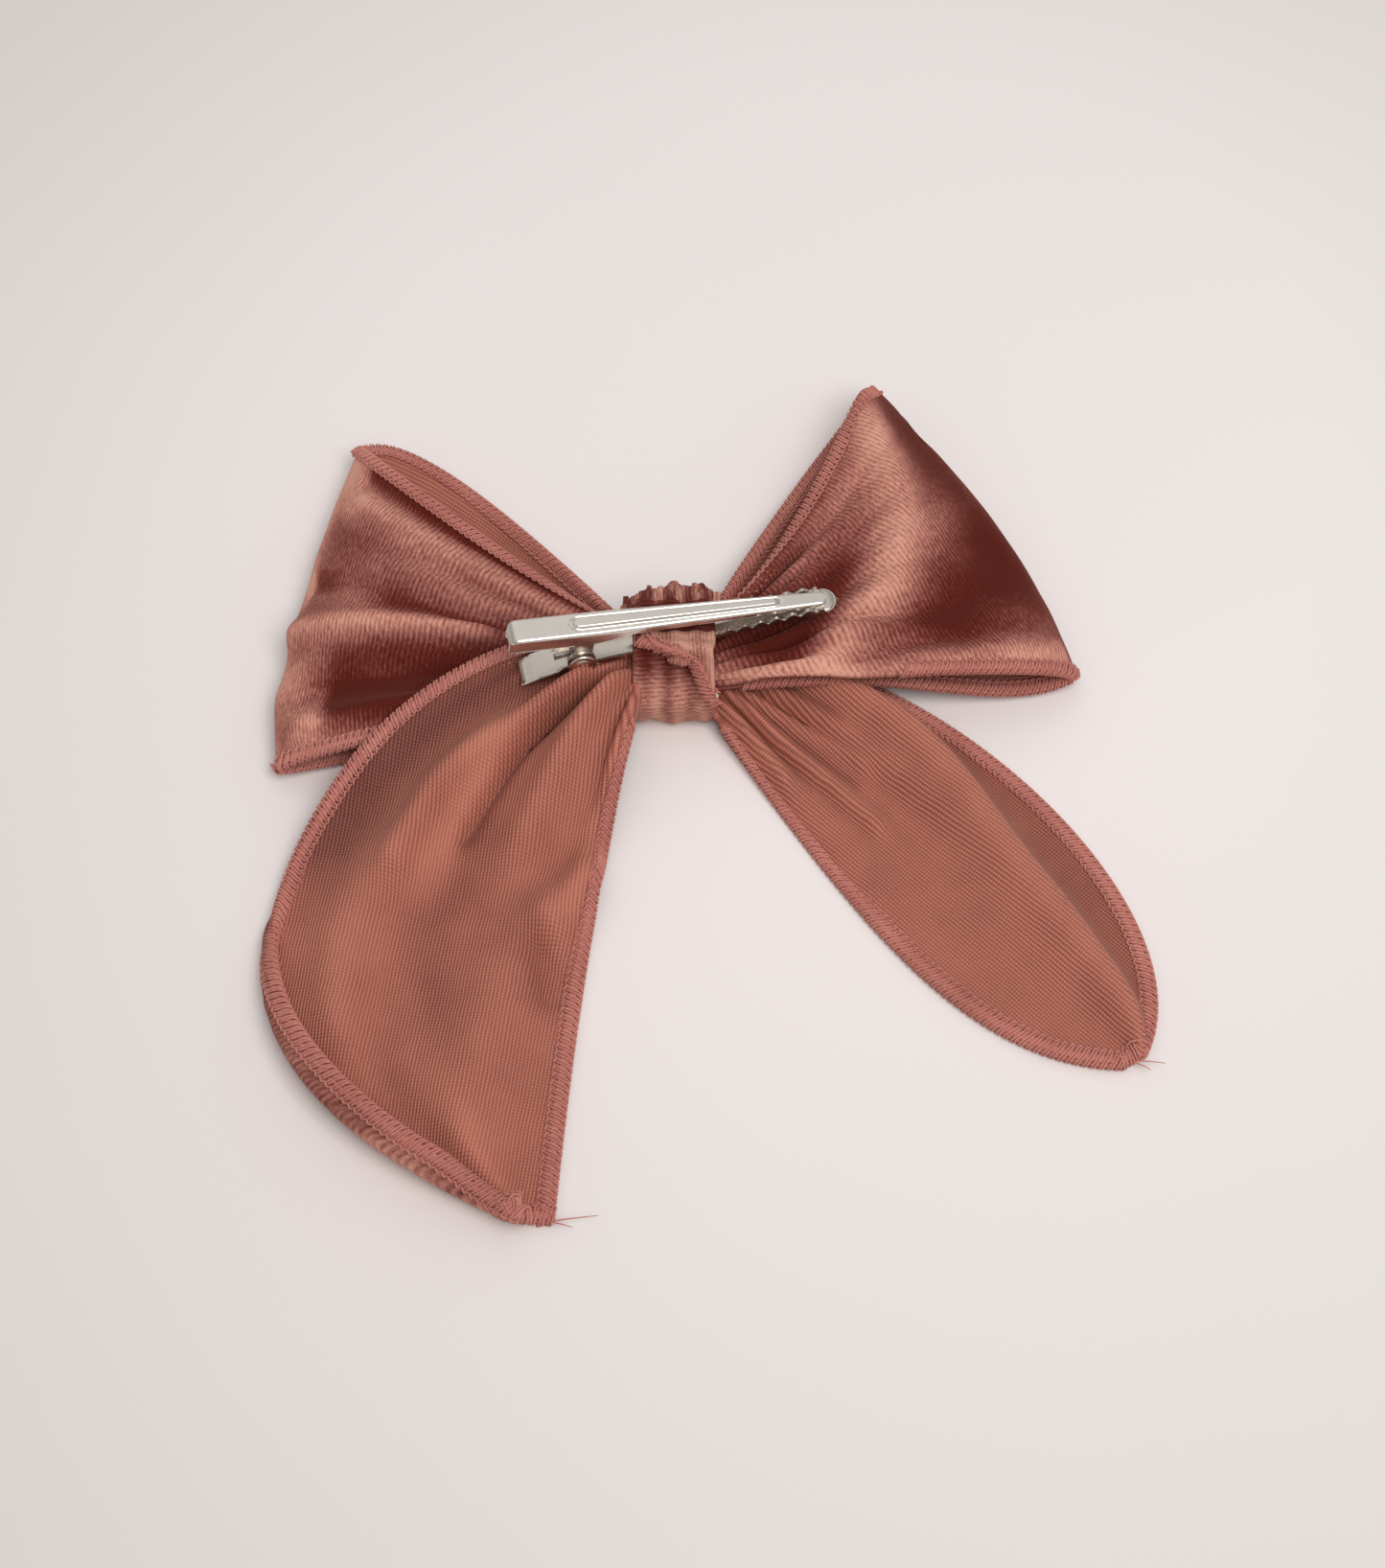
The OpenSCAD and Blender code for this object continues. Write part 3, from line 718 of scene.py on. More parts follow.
def leaf(origin, angle, long_edge, short_edge, u, v):
    """Points between two cubic edges, turned to the tail's axis, and their place on the cloth."""
    flat = mix(bezier(long_edge, u), bezier(short_edge, u), v[..., None])
    a = math.radians(angle)
    x = origin[0] + flat[..., 0] * math.cos(a) - flat[..., 1] * math.sin(a)
    y = origin[1] + flat[..., 0] * math.sin(a) + flat[..., 1] * math.cos(a)
    return np.stack([x, y, np.zeros_like(x)], axis=-1), flat


def left_tail_height(u, v):
    drop = 1 / (1 + np.exp((u - mix(0.22, 0.45, v)) * 20))
    z = CLEAR_Z + 0.1 + (LEFT_TAIL_Z - CLEAR_Z - 0.1) * drop
    z = z + 0.7 * hump((u - 0.2) / 0.1) * hump((v - 0.28) / 0.16)
    z = z + 0.7 * hump((u - 0.28) / 0.12) * hump((v - 1) / 0.5)
    return z


def right_tail_height(u, v):
    """A long ridge, gentle towards the long edge and steep beyond its crest."""
    z = CLEAR_Z + 0.1 + (RIGHT_TAIL_Z - CLEAR_Z - 0.1) * hump(u / 0.14)
    crest = 0.81 - 0.15 * smooth_step(0.3, 0.62, u) + 0.1 * smooth_step(0.72, 0.97, u)
    width = np.where(v < crest, 0.22, 0.07)
    grow = (1 - hump(u / 0.16)) * (1 - u ** 4)
    return z + (RIDGE_H + 0.6 - CLEAR_Z) * grow * hump((v - crest) / width)


def left_tail_folds(u, v):
    along = u * TAIL_CUT
    across = v * RIBBON_W
    fold = ridges(along, across, 0, [
        ([(14, 32), (27, 37), (36, 41), (45, 40)], 3.2, 2.1),
        ([(14, 40), (28, 47), (40, 51)], 5.0, -1.1),
        ([(8, 26), (24, 30), (37, 31)], 2.3, -2.2),
        ([(10, 19), (22, 18), (34, 19)], 5.5, 2.1),
        ([(8, 8), (22, 6)], 2.6, -0.9),
        ([(46, 43), (56, 45), (66, 45)], 5.5, 1.9),
        ([(36, 3), (44, 8)], 4.0, 2.6),
        ([(48, 13), (66, 17), (80, 26)], 6.5, 1.9),
        ([(50, 9), (54, 6)], 3.0, -1.6)])
    return 1.5 * fold * smooth_step(0, 8, along)


def right_tail_folds(u, v):
    along = u * TAIL_CUT
    across = v * RIBBON_W
    fold = ridges(along, across, 0, [
        ([(6, 20), (22, 19), (36, 20)], 2.4, 1.6),
        ([(6, 28), (20, 29), (30, 31)], 2.2, 1.5),
        ([(6, 11), (20, 9)], 2.0, 0.9),
        ([(30, 14), (60, 20)], 7.0, 0.6),
        ([(8, 50), (22, 54)], 2.6, 1.5)])
    return fold * smooth_step(0, 6, along)


def left_tail_light_and_shade(u, v):
    """Painted shade beyond the first crest and in the folds, and a painted highlight on the broad pleat."""
    along, across = u * TAIL_CUT, v * RIBBON_W
    return ridges(along, across, 0.5, [
        ([(10, 44), (26, 51), (44, 55)], 8.0, -0.5),
        ([(28, 36), (36, 34), (42, 34)], 4.5, 0.3),
        ([(12, 27), (25, 29.5), (38, 31)], 2.6, -0.3),
        ([(37, 27), (52, 29), (63, 27), (73, 35)], 5.0, -0.2),
        ([(68, 30), (78, 25), (88, 24)], 6.0, 0.16),
        ([(49, 12), (56, 6)], 3.5, -0.2),
        ([(6, 12), (16, 10)], 3.0, -0.12),
        ([(36, 3), (43, 7)], 3.5, 0.14),
        ([(50, 44), (66, 46)], 5.0, 0.1),
        ([(84, 50), (92, 40)], 5.0, 0.2)])


def right_tail_light_and_shade(u, v):
    """Painted shade beyond the crest, on the side turned from the light, and between the pleats at the knot;
    a painted highlight just before the crest.
    """
    along, across = u * TAIL_CUT, v * RIBBON_W
    beyond = 59 * (0.83 - 0.15 * smooth_step(0.3, 0.62, u) + 0.1 * smooth_step(0.72, 0.97, u))
    nap = 0.5 - 0.22 * smooth_step(-0.5, 3, across - beyond) * smooth_step(0.1, 0.3, u)
    nap += 0.12 * hump((across - beyond + 3) / 2.5)
    return ridges(along, across, nap, [
        ([(4, 24), (20, 24), (30, 25)], 1.8, -0.3),
        ([(4, 15), (22, 14)], 1.8, -0.26),
        ([(4, 36), (22, 38)], 2.6, -0.28),
        ([(78, 30), (92, 34)], 6.0, -0.14)])


def curled(points, v, width, radius, turn):
    """The edge at v = 1 rolled up on an ellipse whose radius r varies along the edge.

    The roll starts one radius inside the edge, so that its furthest reach is the edge.
    """
    out = unit(points[:, -1] - points[:, -2])
    out[:, 2] = 0
    out = unit(out)[:, None]
    inside = (1 - v) * width[:, None]
    r = np.maximum(radius, 1e-3)[:, None]
    s = np.clip(r - inside, 0, None) / r * turn
    start = points - out * np.clip(r - inside, 0, None)[..., None]
    rolled = start + out * (r * np.sin(s))[..., None]
    rolled[..., 2] += 0.6 * r * (1 - np.cos(s))
    return rolled


def tail_grid(points, height, folds, u, v, seed):
    """A tail's points with their height, folds and gathers."""
    points = points.copy()
    points[..., 2] = height(u, v)
    across = (v - 0.5) * RIBBON_W
    stand = folds(u, v) + pleats(u * TAIL_CUT, across, 4.6, 1.6, 10.0, seed)
    points[..., 2] += stand
    points[..., 2] = np.maximum(points[..., 2], CLOTH_T / 2 + 0.05)
    return points


TAIL_END = 0.975
# Rows run evenly from the knot, where the pleats are, to near the tip
u, v = np.meshgrid(np.linspace(0, TAIL_END, 150), np.linspace(0, 1, 72), indexing="ij")
LONG, WIDE = TAIL_L, RIBBON_W
left_long = [(0, 0), (LONG * 0.3, -WIDE * 0.06), (LONG * 0.7, -WIDE * 0.03), (LONG, 0)]
left_short = [(-THROAT_W * 2, -THROAT_W * 0.34), (-LONG * 0.12, -WIDE * 0.6),
              (LONG * 0.8, -WIDE * 1.44), (LONG, 0)]
left_leaf, left_cut = leaf((-WAIST_X + 1.4, -THROAT_W), -98, left_long, left_short, u, v)
left_tail_at = tail_grid(left_leaf, left_tail_height, left_tail_folds, u, v, 5)
edge_width = np.linalg.norm(left_leaf[:, -1] - left_leaf[:, 0], axis=-1)
curl = 6.6 * smooth_step(0.5, 0.86, u[:, 0]) * (1 - 0.45 * smooth_step(0.9, TAIL_END, u[:, 0]))
left_tail_at = curled(left_tail_at, v, edge_width, curl, 2.9)

right_long = [(0, 0), (LONG * 0.33, -WIDE * 0.08), (LONG * 0.78, -WIDE * 0.35), (LONG, 0)]
right_short = [(-THROAT_W * 1.42, THROAT_W * 1.42), (LONG * 0.1, WIDE * 0.54),
               (LONG * 0.93, WIDE * 0.49), (LONG, 0)]
right_leaf, right_cut = leaf((WAIST_X - 2.0, -THROAT_W + 1.2), -45, right_long, right_short, u, v)
right_tail_at = tail_grid(right_leaf, right_tail_height, right_tail_folds, u, v, 6)

LEFT_TAIL_AREA = 0.78 * RIBBON_W * TAIL_CUT
RIGHT_TAIL_AREA = 0.7 * RIBBON_W * TAIL_CUT
left_tail = make_cloth("left_tail_cloth", "left_tail", left_tail_at[:, ::-1], left_cut[:, ::-1],
                       [KNIT, VELVET], (RIBBON_W, TAIL_CUT), left_tail_light_and_shade(u, v)[:, ::-1], LEFT_TAIL_AREA)
right_tail = make_cloth("right_tail_cloth", "right_tail", right_tail_at, right_cut,
                        [KNIT, VELVET], (RIBBON_W, TAIL_CUT), right_tail_light_and_shade(u, v), RIGHT_TAIL_AREA)

# %% [markdown]
# ## Overlock stitching
# Every edge of the ribbon is overlocked: pairs of threads wrap round the cut edge, one
# pair each millimetre or so, and lie on a slant. Where they turn back, a looped thread
# makes a beaded line on each face. The wraps are real tubes, because they give the bow
# its corded outline, and a flattened core under them closes the gaps.

# %% Stitching
STITCH_MM = 1.15
LOOP_REACH_IN = 1.55
TAIL_REACH_IN = 2.0
THREAD_R = 0.17


def along_edge(points, spacing, skip_start, skip_end):
    """An edge resampled at an even spacing: points, inward, normal and run at each place.

    points holds the grid's last rows next to the edge, with the edge itself first.
    """
    edge, inner = points[:, 0], points[:, 2]
    length = np.concatenate([[0], np.cumsum(np.linalg.norm(np.diff(edge, axis=0), axis=1))])
    places = np.arange(skip_start, length[-1] - skip_end, spacing)
    run = unit(np.gradient(edge, axis=0))
    inward = inner - edge
    inward = unit(inward - run * np.sum(inward * run, axis=-1, keepdims=True))
    normal = np.cross(run, inward)

    def at(values):
        return np.stack([np.interp(places, length, values[:, k]) for k in range(3)], axis=-1)

    return at(edge), unit(at(inward)), unit(at(normal)), unit(at(run))


def wraps(edge, inward, normal, run, slant, reach, spacing):
    """Threads round the edge, from the inner line of one face to that of the other.

    t runs from -1 to 1. The thread is -0.3 + (reach + 0.3) |t|^1.5 mm inside the edge, on the face
    that the sign of t gives, and leans along the edge in proportion to t.
    """
    t = np.linspace(-1, 1, 11)[:, None]
    inside = -0.3 + (reach + 0.3) * np.abs(t) ** 1.5
    above = (CLOTH_T / 2 + 0.2) * np.sin(np.pi / 2 * np.clip(t * 3, -1, 1))
    lean = slant * spacing * t
    both = []
    for twin in (-0.5, 0.5):
        shift = lean + twin * 0.38 * spacing
        both.append(edge[:, None] + inward[:, None] * inside + normal[:, None] * above
                    + run[:, None] * shift)
    return np.concatenate(both)


def beads(points, spacing, skip, face, reach):
    """The looped thread along the inner line of one face: it sways and hops once a stitch."""
    edge, inward, normal, run = along_edge(points, spacing / 6, *skip)
    turn = np.arange(len(edge)) * np.pi / 3
    inside = reach + 0.1 + 0.24 * np.sin(turn)
    above = face * (CLOTH_T / 2 + 0.17 + 0.14 * np.cos(turn))
    sway = 0.22 * np.sin(2 * turn)
    path = edge + inward * inside[:, None] + normal * above[:, None] + run * sway[:, None]
    return path[None], normal[None]


def core(points, skip, reach):
    """The flattened bundle under the wraps: an ellipse carried along the edge."""
    edge, inward, normal, run = along_edge(points, 1.0, *skip)
    turn = np.arange(10) * 2 * np.pi / 10
    half = (reach + 0.1) / 2
    middle = edge + inward * (half - 0.15)
    ring = (middle[:, None] + inward[:, None] * (half * np.cos(turn))[:, None]
            + normal[:, None] * ((CLOTH_T / 2 + 0.1) * np.sin(turn))[:, None])
    return ring[None]


def make_stitching(name, node, edges, reach=TAIL_REACH_IN, spacing=STITCH_MM):
    """One piece for all the stitching of a ribbon. Each edge is (points, skip, slant)."""
    grids = []
    for points, skip, slant in edges:
        edge, inward, normal, run = along_edge(points, spacing, *skip)
        paths = wraps(edge, inward, normal, run, slant, reach, spacing)
        side = np.broadcast_to(np.concatenate([run, run])[:, None], paths.shape)
        grids.append(tube_grid(paths, THREAD_R, side, 5))
        for face in (-1, 1):
            path, up = beads(points, spacing, skip, face, reach)
            grids.append(tube_grid(path, THREAD_R * 0.95, up, 5))
        grids.append(core(points, skip, reach))
    vertices, faces, start = [], [], 0
    for grid in grids:
        count, steps, sides = grid.shape[:3]
        faces.extend(face + start for face in tube_faces(count, steps, sides))
        vertices.append(grid.reshape(-1, 3))
        start += count * steps * sides
    vertices = np.concatenate(vertices)
    vertices[:, 2] = np.maximum(vertices[:, 2], 0.02)
    piece = make_piece(name, vertices, faces, [THREAD], [node])
    print(name, len(piece.data.polygons), "faces")
    return piece


loop_skip = (7, 7)
left_loop_stitching = make_stitching("left_loop_overlock", "left_loop_stitching", [
    (left_loop_at, loop_skip, 0.9), (left_loop_at[:, ::-1], loop_skip, 0.9)], LOOP_REACH_IN)
right_loop_stitching = make_stitching("right_loop_overlock", "right_loop_stitching", [
    (right_loop_at, loop_skip, 0.9), (right_loop_at[:, ::-1], (7, 30), 0.9)], LOOP_REACH_IN)
left_tail_stitching = make_stitching("left_tail_overlock", "left_tail_stitching", [
    (left_tail_at, (8, 0), 1.0), (left_tail_at[:, ::-1], (8, 0), 1.0),
    (left_tail_at.transpose(1, 0, 2)[:, ::-1], (0.3, 0.3), 0.5)])
right_tail_stitching = make_stitching("right_tail_overlock", "right_tail_stitching", [
    (right_tail_at, (7, 0), 1.0), (right_tail_at[:, ::-1], (7, 0), 1.0),
    (right_tail_at.transpose(1, 0, 2)[:, ::-1], (0.3, 0.3), 0.5)])


def loose_thread(name, start, ways):
    """A few millimetres of cut thread at a tip: one thin curved tube for each way it goes."""
    t = np.linspace(0, 1, 16)
    bends = [(0, 0, 0), (0.3, 0.3, 1), (0.7, 0.6, 1), (1, 1, 1)]
    paths = np.stack([bezier([start + way * np.array(bend) for bend in bends], t)
                      for way in np.array(ways, float)])
    paths[..., 2] = np.maximum(paths[..., 2], 0.15)
    radius = THREAD_R * (0.75 - 0.45 * t)
    rings = tube_grid(paths, radius, np.broadcast_to(np.array([0, 0, 1.0]), paths.shape), 6)
    make_piece(name, rings, tube_faces(len(paths), 16, 6), [THREAD])


loose_thread("left_tail_thread_end", left_tail_at[-1, 2] + (0, 0, 0.4),
             [(6.4, 0.7, 0.5), (3.0, -0.9, 0.2)])
loose_thread("right_tail_thread_end", right_tail_at[-1, 30] + (0, 0, 0.3),
             [(4.4, -0.6, 0.5), (2.4, -1.4, 0.1)])

# %% [markdown]
# ## The knot
# The band is a strip of the same velvet, gathered and knotted round the middle, so it is
# a fat ring with creases that run round it and ruffles where its cut edge turns up behind
# the clip. Its section is the shape of a string pulled round a few circles: in each
# direction, the point of the circle that reaches furthest.


# %% Band section
def string_round(circles, count):
    """A closed outline round circles (y, z, r), evenly spaced, and its outward normals."""
    turn = np.linspace(0, 2 * np.pi, 720, endpoint=False)
    out = np.stack([np.cos(turn), np.sin(turn)], axis=-1)
    centres = np.array([c[:2] for c in circles])
    radii = np.array([c[2] for c in circles])
    best = np.argmax(out @ centres.T + radii, axis=1)
    outline = centres[best] + radii[best, None] * out
    closed = np.concatenate([outline, outline[:1]])
    length = np.concatenate([[0], np.cumsum(np.linalg.norm(np.diff(closed, axis=0), axis=1))])
    places = np.linspace(0, length[-1], count, endpoint=False)
    even = np.stack([np.interp(places, length, closed[:, k]) for k in range(2)], axis=-1)
    run = unit(np.roll(even, -1, axis=0) - np.roll(even, 1, axis=0))
    return even, np.stack([run[:, 1], -run[:, 0]], axis=-1)


BAND_W = band_high[0] - band_low[0]
BAND_H = band_high[2]
south, north = band_low[1], band_high[1]
BAND_CIRCLES = [(south + 4.4, 3.4, 3.1), (north - 4.6, 3.4, 3.1), (south + 3.8, 6.4, 3.3),
                (north - 3.7, 6.8, 3.1), (-1.2, BAND_H - 3.0, 2.4), (6.0, BAND_H - 3.2, 2.3)]
SECTION, SECTION_OUT = string_round(BAND_CIRCLES, 240)
print("band section is", np.ptp(SECTION[:, 0]).round(1), "by", np.ptp(SECTION[:, 1]).round(1), "mm")


def band_relief(x, y, z):
    """Soft creases round the band, in mm: waves across its width that wander with height."""
    wander = 0.9 * np.sin(y * 0.45) + 0.7 * np.sin(z * 0.6 + 1)
    creases = 0.2 * np.cos(2 * np.pi * (x + wander) / 5.2)
    creases = creases + 0.08 * np.cos(2 * np.pi * (x - wander) / 2.3 + 1)
    lumps = 0.22 * np.sin(y * 0.9 + x * 0.5) * np.sin(z * 0.7 - x * 0.4)
    return creases + lumps


# %% Band
def band_grid(rows=110):
    """The section carried along X, its ends drawn in to the gathered ribbon."""
    e = np.linspace(-1.5, 1.5, rows)
    inside = np.clip(np.abs(e) - 1, 0, None)
    x = np.sign(e) * BAND_W / 2 * (np.clip(np.abs(e), 0, 1) - 0.1 * inside)
    draw_in = 1 - 0.07 * np.clip(np.abs(e), 0, 1) ** 6 - 1.05 * inside
    middle = SECTION.mean(axis=0)
    flat = middle + (SECTION - middle) * draw_in[:, None, None]
    grid = np.concatenate([np.broadcast_to(x[:, None, None], (rows, len(SECTION), 1)), flat], axis=-1)
    relief = band_relief(grid[..., 0], grid[..., 1], grid[..., 2])
    relief = relief * (1 - smooth_step(0.1, 0.4, inside))[:, None]
    grid[..., 1] += SECTION_OUT[:, 0] * relief
    grid[..., 2] = np.maximum(grid[..., 2] + SECTION_OUT[:, 1] * relief, 0.05)
    return grid


ROUND_MM = 0.2
band_at = band_grid()
rows, columns = band_at.shape[:2]
around = np.broadcast_to(np.arange(columns) * ROUND_MM, (rows, columns))
# Painted light on the band: its front and lower side get a painted highlight, its top and back a painted
# shade, and the sine adds brushed tone along it
front = smooth_step(5, -3, band_at[..., 1]) * smooth_step(14, 9, band_at[..., 2])
make_piece("centre_band_velvet", band_at, closed_faces(rows, columns, flip=True), [SHADED_BAND_VELVET],
           ["centre_band", "waist", "gather_thread", "glue_pad"],
           uv=np.stack([around, band_at[..., 0]], axis=-1),
           nap=0.24 + 0.46 * front + 0.1 * np.sin(band_at[..., 0] * 1.9))

# %% [markdown]
# The band's own end is folded over the lower jaw and glued down in front of it. It is a
# small sheet laid on the section: its lower edge is overlocked and runs on a slant, and
# its cut corner is a fuzzy curl beside the clip. Behind the clip the rest of the gathered
# strip stands up as a frill: a sheet on a waving line, whose cut edge is ragged.


# %% Folded end
def on_section(angle, lift):
    """The point of the section whose normal has that angle, in degrees, moved out by lift."""
    a = np.radians(angle)
    out = np.stack([np.cos(a), np.sin(a)], axis=-1)
    centres = np.array([c[:2] for c in BAND_CIRCLES])
    radii = np.array([c[2] for c in BAND_CIRCLES])
    reach = out @ centres.T + radii
    weight = np.exp((reach - reach.max(axis=-1, keepdims=True)) / 0.25)
    weight = weight / weight.sum(axis=-1, keepdims=True)
    return weight @ centres + (weight @ radii + lift)[..., None] * out


def flap_grid(rows=60, columns=34):
    """e runs along the slanting edge and f from that edge up over the top of the band."""
    e, f = np.meshgrid(np.linspace(0, 1, rows), np.linspace(0, 1, columns), indexing="ij")
    x = mix(-5.4, 5.7, e) + 0.6 * f * (1 - e)
    edge = mix(100, 151, e ** 0.9)
    angle = mix(edge, 90, f)
    puff = 0.95 + 1.6 * np.sin(np.pi * np.clip(f * 1.05, 0, 1)) * smooth_step(0.05, 0.4, e)
    wave = 0.22 * np.cos(2 * np.pi * (x + 3 * f) / 3.1) * f
    section = on_section(angle, puff + wave)
    return np.concatenate([x[..., None], section], axis=-1), np.stack([e * 13, f * 9], axis=-1)


flap_at, flap_flat = flap_grid()
# The flap's pale value is a painted highlight on the front of the knot, with brushed tone from the sine
flap = make_piece("band_end_velvet", flap_at, quads(*flap_at.shape[:2]), [SHADED_BAND_VELVET, KNIT],
                  ["band_end"], uv=flap_flat, nap=0.86 + 0.14 * np.sin(flap_at[..., 0] * 1.3))
thicken(flap, CLOTH_T, -1, inner=1)
make_stitching("band_overlock", "band_stitching", [(flap_at, (0.2, 0.2), 0.6)], 1.7, 1.35)


# %% Frill behind the clip
def frill_grid(phase, south, rise, rows=170, columns=16):
    """t runs along the frill and h up it. Its foot is on the band and its top leans back.

    hump_up is the frill's height along t, and sinks towards both ends.
    """
    t, h = np.meshgrid(np.linspace(0, 1, rows), np.linspace(0, 1, columns), indexing="ij")
    hump_up = 0.3 + 0.7 * hump((t - 0.6) / 0.72)
    lobes = np.abs(np.sin(np.pi * 3.7 * t + phase)) ** 0.7
    fine = 0.1 * np.sin(2 * np.pi * 19 * t + phase) + 0.08 * np.sin(2 * np.pi * 43 * t)
    ragged = 0.2 * np.sin(2 * np.pi * 7.3 * t) + 0.12 * np.sin(2 * np.pi * 16.7 * t + 1)
    x = mix(-7.8, 6.6, t) + 0.5 * h * np.sin(2 * np.pi * 4.3 * t + phase)
    y = south - 1.2 * (1 - hump_up) + (3.0 + ragged) * h * hump_up + 1.3 * lobes * h * h * hump_up
    z = 9.6 + (rise + 1.5 * lobes + fine) * np.sin(np.pi / 2 * h) * hump_up
    return np.stack([x, y, z], axis=-1), np.stack([t * 26, h * 5], axis=-1)


for name, phase, place, rise in (("band_frill_front", 0.3, 4.8, 3.4), ("band_frill_back", 1.7, 6.0, 2.8)):
    frill_at, frill_flat = frill_grid(phase, place, rise)
    frill = make_piece(name, frill_at, quads(*frill_at.shape[:2]), [SHADED_BAND_VELVET], uv=frill_flat,
                       nap=0.6 + 0.2 * np.sin(frill_at[..., 0] * 2.2 + phase))
    thicken(frill, 0.7 * CLOTH_T, 0)


# %% Curl and glue
def lump(middle, radii, seed, rough, steps=40):
    """A closed lump: an ellipsoid whose radius follows a few random waves."""
    draw = np.random.default_rng(seed)
    tilt, turn = np.meshgrid(np.linspace(0.02, np.pi - 0.02, steps), np.arange(steps) * 2 * np.pi / steps,
                             indexing="ij")
    out = np.stack([np.sin(tilt) * np.cos(turn), np.sin(tilt) * np.sin(turn), np.cos(tilt)], axis=-1)
    wave = np.zeros(tilt.shape)
    for order in (3, 5, 8):
        along = unit(draw.normal(size=3))
        wave += np.sin(out @ along * order + draw.uniform(0, 6.28)) / order ** 0.7
    return np.asarray(middle) + out * np.asarray(radii) * (1 + rough * wave[..., None])


def lump_piece(name, grid, materials, stands_for=(), nap=None):
    rows, columns = grid.shape[:2]
    uv = np.stack([grid[..., 0] * 1.3, grid[..., 1] + grid[..., 2]], axis=-1)
    make_piece(name, grid, closed_faces(rows, columns), materials, stands_for, uv=uv,
               nap=None if nap is None else np.full((rows, columns), nap))


lump_piece("band_end_curl", lump((1.4, -4.0, 14.3), (2.3, 1.0, 1.0), 4, 0.22), [SHADED_BAND_VELVET],
           nap=0.62)
dab_low, dab_high = (np.array(corner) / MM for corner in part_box("glue_dab"))
dab_at = lump((dab_low + dab_high) / 2 + (0, -0.2, 0.2), (0.95, 0.9, 0.8), 9, 0.16)
lump_piece("glue_dab_set", dab_at, [GLUE], ["glue_dab"])

# %% [markdown]
# ## The clip
# Each jaw is one strip of steel pressed into a channel: a flat with two sides that turn
# down or up. So each is a profile whose width and depth change along the jaw, made as one
# sheet of points and given its thickness by Solidify. The joint's own place and axis set
# where the jaws lie, so they turn about the pin in every pose.

# %% Where the clip lies
joint = frame["joints"][0]
PIVOT = np.array(joint["pos_m"]) / MM
CLIP_TURN = math.atan2(joint["axis"][0], -joint["axis"][1])
UPPER_TILT = math.radians(6.3)
LOWER_TILT = math.radians(-4.6)
STEEL_T = 0.5
print("clip lies at", round(math.degrees(CLIP_TURN), 1), "degrees, pin at", PIVOT)


def on_clip(points, tilt=0.0):
    """From a jaw's own axes to the frame: tilted about the pin, turned, then moved to it."""
    x = points[..., 0] * math.cos(tilt) + points[..., 2] * math.sin(tilt)
    z = points[..., 2] * math.cos(tilt) - points[..., 0] * math.sin(tilt)
    y = points[..., 1]
    c, s = math.cos(CLIP_TURN), math.sin(CLIP_TURN)
    return np.stack([x * c - y * s, x * s + y * c, z], axis=-1) + PIVOT


def end_round(x, low, high, radius):
    """How far the corners of a plate draw in near its two ends: r - sqrt(r^2 - d^2)."""
    d = np.clip(np.maximum(low + radius - x, x - high + radius), 0, radius)
    return radius - np.sqrt(np.maximum(radius ** 2 - d ** 2, 0))


def channel(x, half, top, depth, bend, relief, sign):
    """Points across a channel at each x: one side, a bend of that radius, the flat, and back.

    sign is 1 for sides that turn down and -1 for sides that turn up. relief(x, y) raises
    the flat.
    """
    share = np.linspace(0, 1, 9)
    a = np.linspace(0, np.pi / 2, 8)[1:]
    x, half, top, depth = (v[:, None] for v in (x, half, top, depth))
    side_y = -half + 0 * share
    side_z = top - sign * mix(np.maximum(depth, bend * 1.01), bend + 0 * depth, share)
    bend_y = -half + bend - bend * np.cos(a)
    bend_z = top - sign * (bend - bend * np.sin(a))
    flat_y = mix(-half + bend, half - bend, np.linspace(0, 1, 37)[1:-1])
    flat_z = top + relief(x, flat_y)
    y = np.concatenate([side_y, bend_y, flat_y, -bend_y[:, ::-1], -side_y[:, ::-1]], axis=1)
    z = np.concatenate([side_z, bend_z, flat_z, bend_z[:, ::-1], side_z[:, ::-1]], axis=1)
    return np.stack([np.broadcast_to(x, y.shape), y, z], axis=-1)


# how far the cut edges of the pressed steel are eased, in mm
EASED_EDGE = 0.07


def make_jaw(name, node, points, tilt, body, flip):
    at = on_clip(points, tilt)
    faces = quads(*at.shape[:2])
    jaw = make_piece(name, at, faces[:, ::-1] if flip else faces, [SHADED_LOWER_STEEL if flip else STEEL],
                     [node], body)
    thicken(jaw, STEEL_T, -1)
    edge = jaw.modifiers.new("eased_edges", "BEVEL")
    edge.width = EASED_EDGE * MM
    edge.segments = 2
    edge.limit_method = "ANGLE"
    edge.angle_limit = math.radians(50)


# %% Upper jaw
HANDLE_L = 10.8
UPPER_L = 36.4
UPPER_TOP = 6.3
UPPER_HALF = 2.1
UPPER_TIP_HALF = 1.2
EAR_R = 1.28


def stadium(x, y, start, end):
    """The distance to the straight line along X from start to end."""
    return np.hypot(np.maximum(np.maximum(start - x, x - end), 0), y)


def upper_relief(x, y):
    """A long raised rib with a fine groove round it."""
    width = mix(0.95, 0.62, np.clip(x / 30, 0, 1))
    d = stadium(x, y, -0.4, 28.6) - width
    return 0.36 * (1 - smooth_step(-0.25, 0.08, d)) - 0.12 * hump((d - 0.2) / 0.14)


